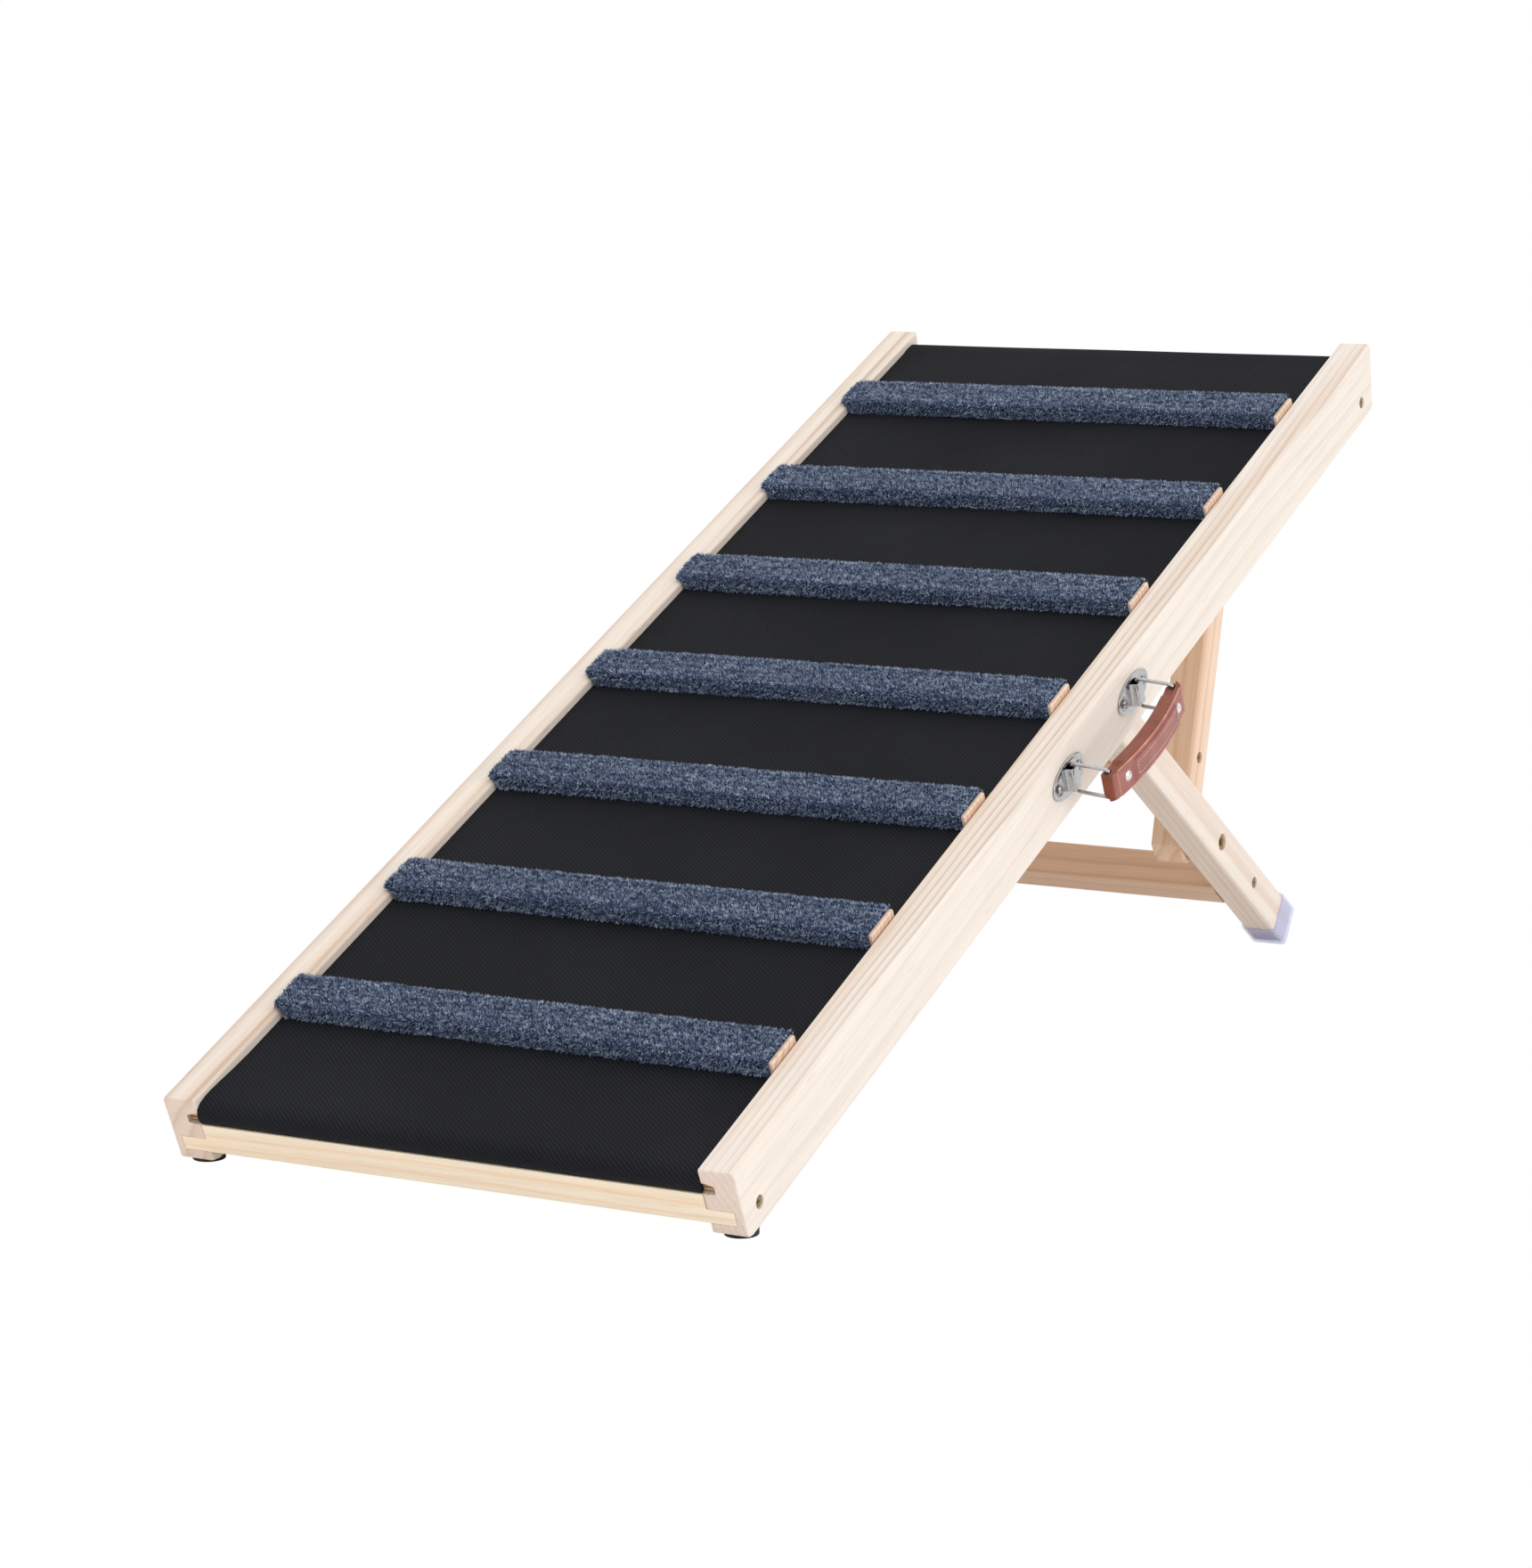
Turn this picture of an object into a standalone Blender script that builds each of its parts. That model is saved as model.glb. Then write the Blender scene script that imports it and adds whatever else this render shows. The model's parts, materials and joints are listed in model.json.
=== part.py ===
"""Folding wooden dog ramp with a propped leg frame and a carry handle.

Two grooved pine rails hold a carpeted deck.  A leg frame turns on two bolts
between the rails, and a brace frame bolted to the legs props it: the brace's
dowel sits in a notched rack under the deck.  A leather grip hangs on two wire
bails outside the right rail.

Everything on the deck is laid out in the ramp's own frame: x across, y up the
slope from the low end, z square to the deck with 0 at the rails' top faces.
The frame is then tilted and stood on the floor, +Z up.
"""
import math

import bmesh
import bpy
from mathutils import Vector

# ---- driving dimensions: metres and degrees -------------------------------
WIDTH = 0.400
LENGTH = 1.040
TILT = 22.25            # slope of the deck above the floor
GAP = 0.0003            # between faces that rest on each other

RAIL_THICK = 0.024
RAIL_DEEP = 0.048
RAIL_END_CUT = 15.0     # the high end leans this far from square
HEEL_CLIP = (0.0075, 0.0045)    # corner taken off under the high end: along, up
TOE_CLIP = 0.0037       # height cut off the low corner, level with the floor
GROOVE_TOP = -0.0102
GROOVE_BOTTOM = -0.0178
GROOVE_DEEP = 0.010

BOARD_THICK = 0.0070
MAT_TOP = -0.0055
MAT_LIP = 0.0037        # how thick the mat is where it turns over the board
DECK_END = 1.032

CLEAT_COUNT = 7
CLEAT_FIRST = 0.1145    # middle of the lowest cleat
CLEAT_PITCH = 0.1357
SLAT_WIDE = 0.030
SLAT_THICK = 0.009
PILE = 0.003

STOCK_THICK = 0.024     # legs and braces are cut from one batten
STOCK_WIDE = 0.028
PIVOT_Y = 0.5856        # the leg bolt, in the ramp's frame
PIVOT_Z = -0.034
LEG_OUTER = 0.1735
LEG_ANGLE = -56.74      # from the slope's direction to the leg's
LEG_TO_BRACE = 0.240
LEG_TO_CROSSBAR = 0.3115
CAP_WALL = 0.0013
CAP_FLOOR = 0.0017
CAP_DEEP = 0.025

BRACE_OUTER = 0.1485
BRACE_LENGTH = 0.256
BRACE_TO_CROSSBAR = 0.059
DOWEL_R = 0.006
DOWEL_SLACK = 0.0004
RACK_PITCH = 0.030
RACK_INNER = 0.092
RACK_THICK = 0.020
RACK_LOW = -0.044
NOTCH_OPENING = 40.0    # how far a notch's low side leans from square

PAD_R = 0.0103
PAD_THICK = 0.003
PAD_Y = 0.0105

HANDLE_LOW_Y = 0.4663
HANDLE_HIGH_Y = 0.5739
HANDLE_Z = -0.023
BAIL_OUT = 0.0046       # the bail's hinge line stands this far off the rail
BAIL_LONG = 0.0285
BAIL_HALF = 0.0104
WIRE_R = 0.0016
BAIL_LEAN = 9.0         # the bails lean towards the low end
GRIP_HALF_TALL = 0.0083
GRIP_THICK = 0.011
GRIP_BOW = 0.0055
PLATE_HALF_LONG = 0.024
PLATE_HALF_TALL = 0.0118
PLATE_THICK = 0.0012

# ---- what follows from them ------------------------------------------------
INNER = WIDTH / 2 - RAIL_THICK
MAT_BOTTOM = GROOVE_TOP
BAR_TOP = GROOVE_BOTTOM
LEG_INNER = LEG_OUTER - STOCK_THICK
BRACE_INNER = BRACE_OUTER - STOCK_THICK
HALF_WIDE = STOCK_WIDE / 2
NECK = math.radians(LEG_ANGLE)
BRACE_FOOT_Y = PIVOT_Y + LEG_TO_BRACE * math.cos(NECK)
BRACE_FOOT_Z = PIVOT_Z + LEG_TO_BRACE * math.sin(NECK)
BRACE_ANGLE = math.degrees(math.asin((PIVOT_Z - BRACE_FOOT_Z) / BRACE_LENGTH))
DOWEL_Y = BRACE_FOOT_Y + BRACE_LENGTH * math.cos(math.radians(BRACE_ANGLE))
SLOPE_SIN = math.sin(math.radians(TILT))
SLOPE_COS = math.cos(math.radians(TILT))
LIFT = (RAIL_DEEP - TOE_CLIP) * SLOPE_COS + PAD_THICK
PIVOT_HEIGHT = PIVOT_Y * SLOPE_SIN + PIVOT_Z * SLOPE_COS + LIFT
LEG_DROP = -math.radians(TILT + LEG_ANGLE)
CAP_HALF = HALF_WIDE + GAP + CAP_WALL
LEG_REACH = (PIVOT_HEIGHT - CAP_HALF * math.cos(LEG_DROP)) / math.sin(LEG_DROP)
LEG_END = LEG_REACH - CAP_FLOOR - GAP


# ---- helpers ---------------------------------------------------------------
def clear_scene():
    for obj in list(bpy.data.objects):
        bpy.data.objects.remove(obj, do_unlink=True)


def material(name, colour, roughness, metallic=0.0, alpha=1.0):
    mat = bpy.data.materials.new(name)
    mat.use_nodes = True
    shader = mat.node_tree.nodes["Principled BSDF"]
    shader.inputs["Base Color"].default_value = (*colour, 1.0)
    shader.inputs["Roughness"].default_value = roughness
    shader.inputs["Metallic"].default_value = metallic
    shader.inputs["Alpha"].default_value = alpha
    return mat


def empty(name, parent=None, at=(0, 0, 0), turn_x=0.0, turn_z=0.0):
    obj = bpy.data.objects.new(name, None)
    bpy.context.scene.collection.objects.link(obj)
    obj.parent = parent
    obj.location = at
    obj.rotation_euler = (math.radians(turn_x), 0, math.radians(turn_z))
    return obj


def new_object(name, bm, parent, mat=None, at=(0, 0, 0), smooth=False):
    """Turn a bmesh into an object in the parent's frame."""
    bmesh.ops.recalc_face_normals(bm, faces=bm.faces)
    mesh = bpy.data.meshes.new(name)
    bm.to_mesh(mesh)
    bm.free()
    if smooth:
        mesh.shade_smooth()
        mesh.set_sharp_from_angle(angle=math.radians(35))
    obj = bpy.data.objects.new(name, mesh)
    bpy.context.scene.collection.objects.link(obj)
    obj.parent = parent
    obj.location = at
    if mat:
        mesh.materials.append(mat)
    return obj


def rounded(points, steps=4):
    """Outline whose corners (u, v, radius) are turned into arcs."""
    out = []
    count = len(points)
    for i, (u, v, radius) in enumerate(points):
        here = Vector((u, v))
        if radius <= 0:
            out.append((u, v))
            continue
        to_last = (Vector(points[i - 1][:2]) - here).normalized()
        to_next = (Vector(points[(i + 1) % count][:2]) - here).normalized()
        half = to_last.angle(to_next) / 2
        centre = here + (to_last + to_next).normalized() * radius / math.sin(half)
        first = here + to_last * radius / math.tan(half) - centre
        last = here + to_next * radius / math.tan(half) - centre
        sweep = first.angle_signed(last)
        for k in range(steps + 1):
            turn = -sweep * k / steps
            c, s = math.cos(turn), math.sin(turn)
            out.append((centre.x + c * first.x - s * first.y,
                        centre.y + s * first.x + c * first.y))
    return out


def rectangle(u0, u1, v0, v1, radius=0.0):
    return [(u0, v0, radius), (u1, v0, radius), (u1, v1, radius), (u0, v1, radius)]


def arc(centre, radius, start, stop, steps):
    """Points on an arc, angles in degrees."""
    out = []
    for k in range(steps + 1):
        turn = math.radians(start + (stop - start) * k / steps)
        out.append((centre[0] + radius * math.cos(turn), centre[1] + radius * math.sin(turn)))
    return out


def prism(name, outline, axis, start, stop, parent, mat=None, lean=0.0, ease=0.0):
    """Carry an outline along x, y or z.

    lean shifts the far end with height; ease rounds the edges of both ends.
    """
    place = {"x": lambda u, v, w: (w, u, v),
             "y": lambda u, v, w: (u, w, v),
             "z": lambda u, v, w: (u, v, w)}[axis]
    bm = bmesh.new()
    near = [bm.verts.new(place(u, v, start)) for u, v in outline]
    far = [bm.verts.new(place(u, v, stop + lean * v)) for u, v in outline]
    ends = [bm.faces.new(near), bm.faces.new(reversed(far))]
    count = len(outline)
    for i in range(count):
        j = (i + 1) % count
        bm.faces.new((near[j], near[i], far[i], far[j]))
    if ease:
        rim = [edge for face in ends for edge in face.edges]
        bmesh.ops.bevel(bm, geom=rim, offset=ease, segments=2, profile=0.5, affect="EDGES")
    return new_object(name, bm, parent, mat)


def box(name, x, y, z, parent, mat=None, radius=0.0):
    """A bar between two values on each axis; radius rounds its long edges."""
    outline = rounded(rectangle(*y, *z, radius), 3)
    return prism(name, outline, "x", *x, parent, mat)


def turned(name, profile, parent, mat=None, at=(0, 0, 0), side=1, steps=24):
    """Turn (distance, radius) pairs about x.  side -1 points the piece at -x."""
    bm = bmesh.new()
    ring = [bm.verts.new((side * d, 0, r)) for d, r in profile]
    edges = [bm.edges.new(pair) for pair in zip(ring, ring[1:])]
    bmesh.ops.spin(bm, geom=ring + edges, cent=(0, 0, 0), axis=(1, 0, 0),
                   angle=2 * math.pi, steps=steps, use_duplicate=False, use_merge=True)
    bmesh.ops.remove_doubles(bm, verts=bm.verts, dist=1e-6)
    return new_object(name, bm, parent, mat, at, smooth=True)


def cut(target, *cutters):
    for cutter in cutters:
        cutter.hide_render = True
        cutter.display_type = "WIRE"
        boolean = target.modifiers.new("cut", "BOOLEAN")
        boolean.operation = "DIFFERENCE"
        boolean.object = cutter


def join(target, added):
    added.hide_render = True
    added.display_type = "WIRE"
    boolean = target.modifiers.new("join", "BOOLEAN")
    boolean.operation = "UNION"
    boolean.object = added


def soften(obj, width=0.001, segments=2):
    bevel = obj.modifiers.new("soften", "BEVEL")
    bevel.width = width
    bevel.segments = segments
    bevel.limit_method = "ANGLE"
    bevel.angle_limit = math.radians(40)
    return obj


# ---- fasteners -------------------------------------------------------------
SCREW_HEAD_R = 0.0040
SCREW_R = 0.0020
SCREW_HEAD_DEEP = 0.0030
SCREW_SINK = 0.0010
SLACK = 0.0003


def wood_screw(name, parent, at, side, length, mat, woods):
    """Countersunk screw whose head sits just under the face it enters."""
    head = [(0, 0), (0, 0.0012), (0, SCREW_HEAD_R), (SCREW_HEAD_DEEP, SCREW_R),
            (length - 0.004, SCREW_R), (length, 0)]
    start = (at[0] - side * SCREW_SINK, at[1], at[2])
    screw = turned(name, head, parent, mat, start, -side, 16)
    hole = [(-0.004, 0), (-0.004, SCREW_HEAD_R + SLACK), (SLACK, SCREW_HEAD_R + SLACK),
            (SCREW_HEAD_DEEP + SLACK, SCREW_R + SLACK), (length, SCREW_R + SLACK),
            (length + 0.001, 0)]
    bore = turned(name + "_bore", hole, parent, None, start, -side, 16)
    for wood in woods:
        cut(wood, bore)
    return screw


def pivot_bolt(name, parent, at, side, head_r, shank_r, sink, length, mat, woods):
    """Socket-head bolt that enters along -side and stays under the face."""
    head_deep = 0.0045
    socket_r = head_r * 0.42
    start = (at[0] - side * sink, at[1], at[2])
    outline = [(0.0028, 0), (0.0028, socket_r), (0, socket_r), (0, head_r - 0.0006),
               (0.0006, head_r), (head_deep, head_r), (head_deep, shank_r),
               (length - 0.001, shank_r), (length, shank_r - 0.001), (length, 0)]
    bolt = turned(name, outline, parent, mat, start, -side, 24)
    hole = [(-sink - 0.002, 0), (-sink - 0.002, head_r + SLACK),
            (head_deep + SLACK, head_r + SLACK), (head_deep + SLACK, shank_r + SLACK),
            (length + SLACK, shank_r + SLACK), (length + SLACK, 0)]
    bore = turned(name + "_bore", hole, parent, None, start, -side, 24)
    for wood in woods:
        cut(wood, bore)
    return bolt


# ---- the deck and its rails -------------------------------------------------
def make_rail(name, side, ramp, pine):
    """Grooved rail: section drawn from the inner face outwards."""
    section = [(INNER, -RAIL_DEEP, 0.0015), (INNER + RAIL_THICK, -RAIL_DEEP, 0.003),
               (INNER + RAIL_THICK, 0, 0.003), (INNER, 0, 0.0015), (INNER, GROOVE_TOP, 0),
               (INNER + GROOVE_DEEP, GROOVE_TOP, 0), (INNER + GROOVE_DEEP, GROOVE_BOTTOM, 0),
               (INNER, GROOVE_BOTTOM, 0)]
    outline = [(side * u, v) for u, v in rounded(section)]
    lean = math.tan(math.radians(RAIL_END_CUT))
    return prism(name, outline, "y", 0, LENGTH, ramp, pine, lean=lean, ease=0.0012)


def toe_line(y):
    """Height of the clipped toe, level with the floor, at y up the slope."""
    return -RAIL_DEEP + TOE_CLIP - y * math.tan(math.radians(TILT))


def make_toe_cutter(ramp):
    far = 0.040
    outline = [(-0.005, toe_line(-0.005)), (-0.005, toe_line(far)), (far, toe_line(far))]
    return prism("toe_cutter", outline, "x", -WIDTH, WIDTH, ramp)


def make_heel_cutter(ramp):
    """Takes the sharp corner off under the rails' high ends."""
    corner = LENGTH - RAIL_DEEP * math.tan(math.radians(RAIL_END_CUT))
    along, up = HEEL_CLIP
    outline = [(corner - along, -RAIL_DEEP - 0.0001), (corner + 0.0015, -RAIL_DEEP + up),
               (corner + 0.02, -RAIL_DEEP + up), (corner + 0.02, -RAIL_DEEP - 0.01),
               (corner - along, -RAIL_DEEP - 0.01)]
    return prism("heel_cutter", outline, "x", -WIDTH, WIDTH, ramp)


def make_pad(name, side, ramp, rubber):
    """Round rubber foot: flat on the floor, its top follows the clipped rail."""
    x = side * (WIDTH / 2 - RAIL_THICK / 2)
    bm = bmesh.new()
    bmesh.ops.create_circle(bm, cap_ends=True, radius=PAD_R, segments=32)
    grown = bmesh.ops.extrude_face_region(bm, geom=bm.faces[:])
    top = [g for g in grown["geom"] if isinstance(g, bmesh.types.BMVert)]
    bmesh.ops.translate(bm, verts=top, vec=(0, 0, 0.016))
    pad = new_object(name, bm, ramp, rubber, smooth=True)
    pad.rotation_euler = (-math.radians(TILT), 0, 0)
    below = PAD_THICK / SLOPE_COS
    pad.location = (x, PAD_Y, toe_line(PAD_Y) - below)
    meet = TOE_CLIP / math.tan(math.radians(TILT))
    under = [(-0.03, toe_line(-0.03)), (meet, -RAIL_DEEP), (0.06, -RAIL_DEEP), (0.06, 0.02), (-0.03, 0.02)]
    outline = [(u, v - GAP) for u, v in under]
    cut(pad, prism(name + "_seat", outline, "x", x - 0.03, x + 0.03, ramp))
    return pad


BAR_LOW = -0.0378
TENON_TOP = -0.0282
TENON_LONG = 0.018
LOW_BAR = (0.0, 0.037)
HIGH_BAR = (0.991, 1.018)


def make_deck_bar(name, span, ramp, pine, rails):
    """Crossbar under the board, its half-thick tenons let into both rails."""
    wide = INNER - GAP
    reach = INNER + TENON_LONG
    outline = [(-wide, BAR_TOP), (-wide, TENON_TOP), (-reach, TENON_TOP), (-reach, BAR_LOW),
               (reach, BAR_LOW), (reach, TENON_TOP), (wide, TENON_TOP), (wide, BAR_TOP)]
    bar = prism(name, outline, "y", *span, ramp, pine)
    for side, rail in rails.items():
        x = sorted((side * (INNER - 0.002), side * (reach + GAP)))
        low = span[0] - (0.005 if span is LOW_BAR else GAP)
        pocket = box(f"{name}_pocket_{side}", x, (low, span[1] + GAP),
                     (BAR_LOW - GAP, TENON_TOP + GAP), ramp)
        cut(rail, pocket)
    return bar


def make_board(ramp, plywood):
    half = INNER + GROOVE_DEEP - GAP
    y = (MAT_LIP + GAP, DECK_END - MAT_LIP - GAP)
    return box("deck_board", (-half, half), y, (GROOVE_TOP - GAP - BOARD_THICK, GROOVE_TOP - GAP), ramp, plywood)


def make_mat(ramp, mat):
    """Mat section along the slope: flat on the board, turned over both ends."""
    foot = GROOVE_TOP - GAP - BOARD_THICK
    section = [(0, foot, 0.0008), (MAT_LIP, foot, 0.0008), (MAT_LIP, MAT_BOTTOM, 0),
               (DECK_END - MAT_LIP, MAT_BOTTOM, 0), (DECK_END - MAT_LIP, foot, 0.0008),
               (DECK_END, foot, 0.0008), (DECK_END, MAT_TOP, 0.003), (0, MAT_TOP, 0.0035)]
    half = INNER - 0.0004
    return prism("tread_mat", rounded(section), "x", -half, half, ramp, mat)


def make_cleat(number, ramp, pine, carpet):
    """Wooden slat with carpet wrapped over its top, sides and left end."""
    y = CLEAT_FIRST + (number - 1) * CLEAT_PITCH
    base = MAT_TOP + GAP
    top = base + SLAT_THICK
    half = SLAT_WIDE / 2
    left = -INNER + 0.0005
    slat_x = (left + PILE + GAP, INNER - 0.0006)
    slat = box(f"cleat_slat_{number}", slat_x, (y - half, y + half), (base, top), ramp, pine)
    soften(slat, 0.0008, 1)
    outer = rounded([(y - half - PILE, base, 0.001), (y + half + PILE, base, 0.001),
                     (y + half + PILE, top + PILE, 0.005), (y - half - PILE, top + PILE, 0.005)])
    cover = prism(f"cleat_carpet_{number}", outer, "x", left, INNER - 0.0045, ramp, carpet)
    hollow = box(f"cleat_hollow_{number}", (slat_x[0] - GAP, INNER), (y - half - GAP, y + half + GAP),
                 (base - 0.002, top + GAP), ramp)
    cut(cover, hollow)


def make_rack(name, side, ramp, pine):
    """Toothed strip: the dowel can rest in any notch, which opens downhill."""
    seat = DOWEL_R + DOWEL_SLACK
    lean = math.tan(math.radians(NOTCH_OPENING))
    outline = [(DOWEL_Y - 2.75 * RACK_PITCH, BAR_TOP), (DOWEL_Y - 2.75 * RACK_PITCH, RACK_LOW)]
    for step in (-2, -1, 0, 1, 2):
        y = DOWEL_Y + step * RACK_PITCH
        curve = arc((y, PIVOT_Z), seat, 180 - NOTCH_OPENING, 0, 6)
        foot_y = curve[0][0] - lean * (curve[0][1] - RACK_LOW)
        outline += [(foot_y, RACK_LOW)] + curve + [(y + seat, RACK_LOW)]
    end = DOWEL_Y + 2.5 * RACK_PITCH
    outline += [(end, RACK_LOW), (end, BAR_TOP)]
    x = sorted((side * RACK_INNER, side * (RACK_INNER + RACK_THICK)))
    return prism(name, outline, "x", *x, ramp, pine)


# ---- the leg frame ----------------------------------------------------------
def make_leg(name, side, leg, pine):
    """Batten with a round top end on the pivot and a square foot."""
    outline = arc((0, 0), HALF_WIDE, 270, 90, 12) + [(LEG_END, HALF_WIDE), (LEG_END, -HALF_WIDE)]
    x = sorted((side * LEG_INNER, side * LEG_OUTER))
    return soften(prism(name, outline, "x", *x, leg, pine), 0.0022)


def make_cap(name, side, leg, clear):
    """Clear push-on cup over the foot of a leg."""
    middle = side * (LEG_OUTER - STOCK_THICK / 2)
    half_x = STOCK_THICK / 2 + GAP
    half_z = HALF_WIDE + GAP
    top = LEG_REACH - CAP_DEEP

    def sleeve(extra):
        return rounded(rectangle(middle - half_x - extra, middle + half_x + extra,
                                 -half_z - extra, half_z + extra, 0.0018 + extra), 3)

    cap = prism(name, sleeve(CAP_WALL), "y", top, LEG_REACH, leg, clear)
    cut(cap, prism(name + "_inside", sleeve(0), "y", top - 0.004, LEG_END + GAP, leg))
    return cap


def make_cross_piece(name, y, half_x, parent, pine):
    """Batten between two arms, its wide side along the parent's z."""
    half_y = STOCK_THICK / 2
    outline = rounded(rectangle(y - half_y, y + half_y, -HALF_WIDE, HALF_WIDE, 0.0025), 3)
    return prism(name, outline, "x", -half_x, half_x, parent, pine)


# ---- the brace frame --------------------------------------------------------
def make_brace_arm(name, side, brace, pine):
    """Batten with clipped corners at its foot and a round top round the dowel."""
    foot, clip = -0.0174, 0.0105
    outline = [(foot + clip, -HALF_WIDE), (foot, -0.003), (foot, 0.003), (foot + clip, HALF_WIDE)]
    outline += arc((BRACE_LENGTH, 0), HALF_WIDE, 90, -90, 12)
    x = sorted((side * BRACE_INNER, side * BRACE_OUTER))
    arm = soften(prism(name, outline, "x", *x, brace, pine), 0.0016)
    hole = turned(name + "_eye", [(-0.02, 0), (-0.02, DOWEL_R + GAP), (0.02, DOWEL_R + GAP), (0.02, 0)],
                  brace, at=(side * (BRACE_INNER + STOCK_THICK / 2), BRACE_LENGTH, 0))
    cut(arm, hole)
    return arm


def make_dowel(brace, beech):
    half = BRACE_OUTER - 0.0005
    outline = [(-half, 0), (-half, DOWEL_R - 0.001), (-half + 0.001, DOWEL_R),
               (half - 0.001, DOWEL_R), (half, DOWEL_R - 0.001), (half, 0)]
    return turned("prop_dowel", outline, brace, beech, at=(0, BRACE_LENGTH, 0))


# ---- the carry handle -------------------------------------------------------
PLATE_FACE = WIDTH / 2 + GAP
HANDLE_SCREW_OUT = 0.0158
TUNNEL_HALF = 0.0082
TUNNEL_R = WIRE_R + 0.0004


def ellipse(half_u, half_v, steps):
    return [(half_u * math.cos(2 * math.pi * k / steps), half_v * math.sin(2 * math.pi * k / steps))
            for k in range(steps)]


def make_plate(name, y, ramp, chrome):
    """Oval plate with a raised tunnel, square to the rail, for the bail."""
    outline = [(y + u, HANDLE_Z + v) for u, v in ellipse(PLATE_HALF_LONG, PLATE_HALF_TALL, 40)]
    back = PLATE_FACE
    plate = prism(name, outline, "x", back, back + PLATE_THICK, ramp, chrome)
    hinge_x = WIDTH / 2 + BAIL_OUT
    crown = arc((hinge_x, y), TUNNEL_R + 0.0012, -60, 60, 8)
    foot = back + PLATE_THICK / 2
    hump = [(foot, y - 0.0058)] + crown + [(foot, y + 0.0058)]
    low, high = HANDLE_Z - TUNNEL_HALF, HANDLE_Z + TUNNEL_HALF
    join(plate, prism(name + "_hump", hump, "z", low, high, ramp))
    ring = arc((hinge_x, y), TUNNEL_R, 0, 345, 23)
    cut(plate, prism(name + "_tunnel", ring, "z", low - 0.004, high + 0.004, ramp))
    return plate


def make_plate_screw(name, y, ramp, steel, plate, rail):
    """Pan-head screw through the plate into the rail."""
    at = (PLATE_FACE + PLATE_THICK + GAP, y, HANDLE_Z)
    head_r, shank_r, length = 0.0032, 0.0016, 0.018
    outline = [(-0.0018, 0), (-0.0018, head_r * 0.5), (-0.0013, head_r * 0.85), (-0.0005, head_r),
               (0, head_r), (0, shank_r), (length - 0.003, shank_r), (length, 0)]
    turned(name, outline, ramp, steel, at, -1, 16)
    hole = [(-0.004, 0), (-0.004, shank_r + SLACK), (length, shank_r + SLACK), (length + 0.001, 0)]
    bore = turned(name + "_bore", hole, ramp, None, at, -1, 16)
    cut(plate, bore)
    cut(rail, bore)


def make_bail(name, hinge, chrome):
    """Closed rectangle of round wire: one side in the tunnel, one in the grip."""
    corners = [(0, -BAIL_HALF, 0.002), (BAIL_LONG, -BAIL_HALF, 0.002),
               (BAIL_LONG, BAIL_HALF, 0.002), (0, BAIL_HALF, 0.002)]
    path = rounded(corners, 4)
    curve = bpy.data.curves.new(name, "CURVE")
    curve.dimensions = "3D"
    curve.bevel_depth = WIRE_R
    curve.bevel_resolution = 2
    spline = curve.splines.new("POLY")
    spline.points.add(len(path) - 1)
    for point, (u, v) in zip(spline.points, path):
        point.co = (u, 0, v, 1)
    spline.use_cyclic_u = True
    curve.materials.append(chrome)
    obj = bpy.data.objects.new(name, curve)
    bpy.context.scene.collection.objects.link(obj)
    obj.parent = hinge
    return obj


GRIP_SPAN = HANDLE_HIGH_Y - HANDLE_LOW_Y
GRIP_END = 0.0055
RIVET_IN = 0.0115


def grip_bow(t):
    """How far the grip's middle line bows out at t from -1 to 1."""
    return GRIP_BOW * (1 - t * t)


def make_grip(grip, leather):
    """Bowed bar between the two bails, with round ends round their wires."""
    half = GRIP_THICK / 2
    steps = 16
    line = [(k / steps) * 2 - 1 for k in range(steps + 1)]
    outer = [(grip_bow(t) + half, GRIP_SPAN * (t + 1) / 2) for t in line]
    inner = [(grip_bow(t) - half, GRIP_SPAN * (t + 1) / 2) for t in reversed(line)]
    far_end = arc((0, GRIP_SPAN), half, 30, 150, 6)
    near_end = arc((0, 0), half, 210, 330, 6)
    tall = GRIP_HALF_TALL
    body = prism("handle_grip", outer + far_end + inner + near_end, "z", -tall, tall, grip, leather)
    soften(body, 0.0014, 2)
    for number, y in enumerate((0, GRIP_SPAN)):
        ring = arc((0, y), WIRE_R + 0.0005, 0, 345, 23)
        cut(body, prism(f"grip_eye_{number}", ring, "z", -0.02, 0.02, grip))
    return body


def make_rivet(name, y, grip, steel, body):
    """Domed rivet through the leather, with a smaller tail inside."""
    t = 2 * y / GRIP_SPAN - 1
    half = GRIP_THICK / 2 + GAP
    middle = grip_bow(t)
    outline = [(-0.0013, 0), (-0.0012, 0.0018), (-0.0006, 0.0031), (0, 0.0035), (0, 0.0014),
               (2 * half, 0.0014), (2 * half, 0.0028), (2 * half + 0.0008, 0.0022), (2 * half + 0.0009, 0)]
    at = (middle + half + 0.0002, y, 0)
    rivet = turned(name, outline, grip, steel, at, -1, 16)
    bore = turned(name + "_bore", [(-0.006, 0), (-0.006, 0.0017), (0.016, 0.0017), (0.016, 0)],
                  grip, None, at, -1, 16)
    cut(body, bore)
    slant = math.atan2(4 * GRIP_BOW * t / GRIP_SPAN, 1)
    for obj in (rivet, bore):
        obj.rotation_euler = (0, 0, slant)
    seat = turned(name + "_seat", [(-0.004, 0), (-0.004, 0.0039), (0, 0.0039), (0, 0)],
                  grip, None, at, -1, 16)
    seat.rotation_euler = (0, 0, slant)
    tail = turned(name + "_tail", [(2 * half - 0.0002, 0), (2 * half - 0.0002, 0.0032), (0.014, 0.0032), (0.014, 0)],
                  grip, None, at, -1, 16)
    tail.rotation_euler = (0, 0, slant)
    cut(body, seat, tail)


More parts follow.
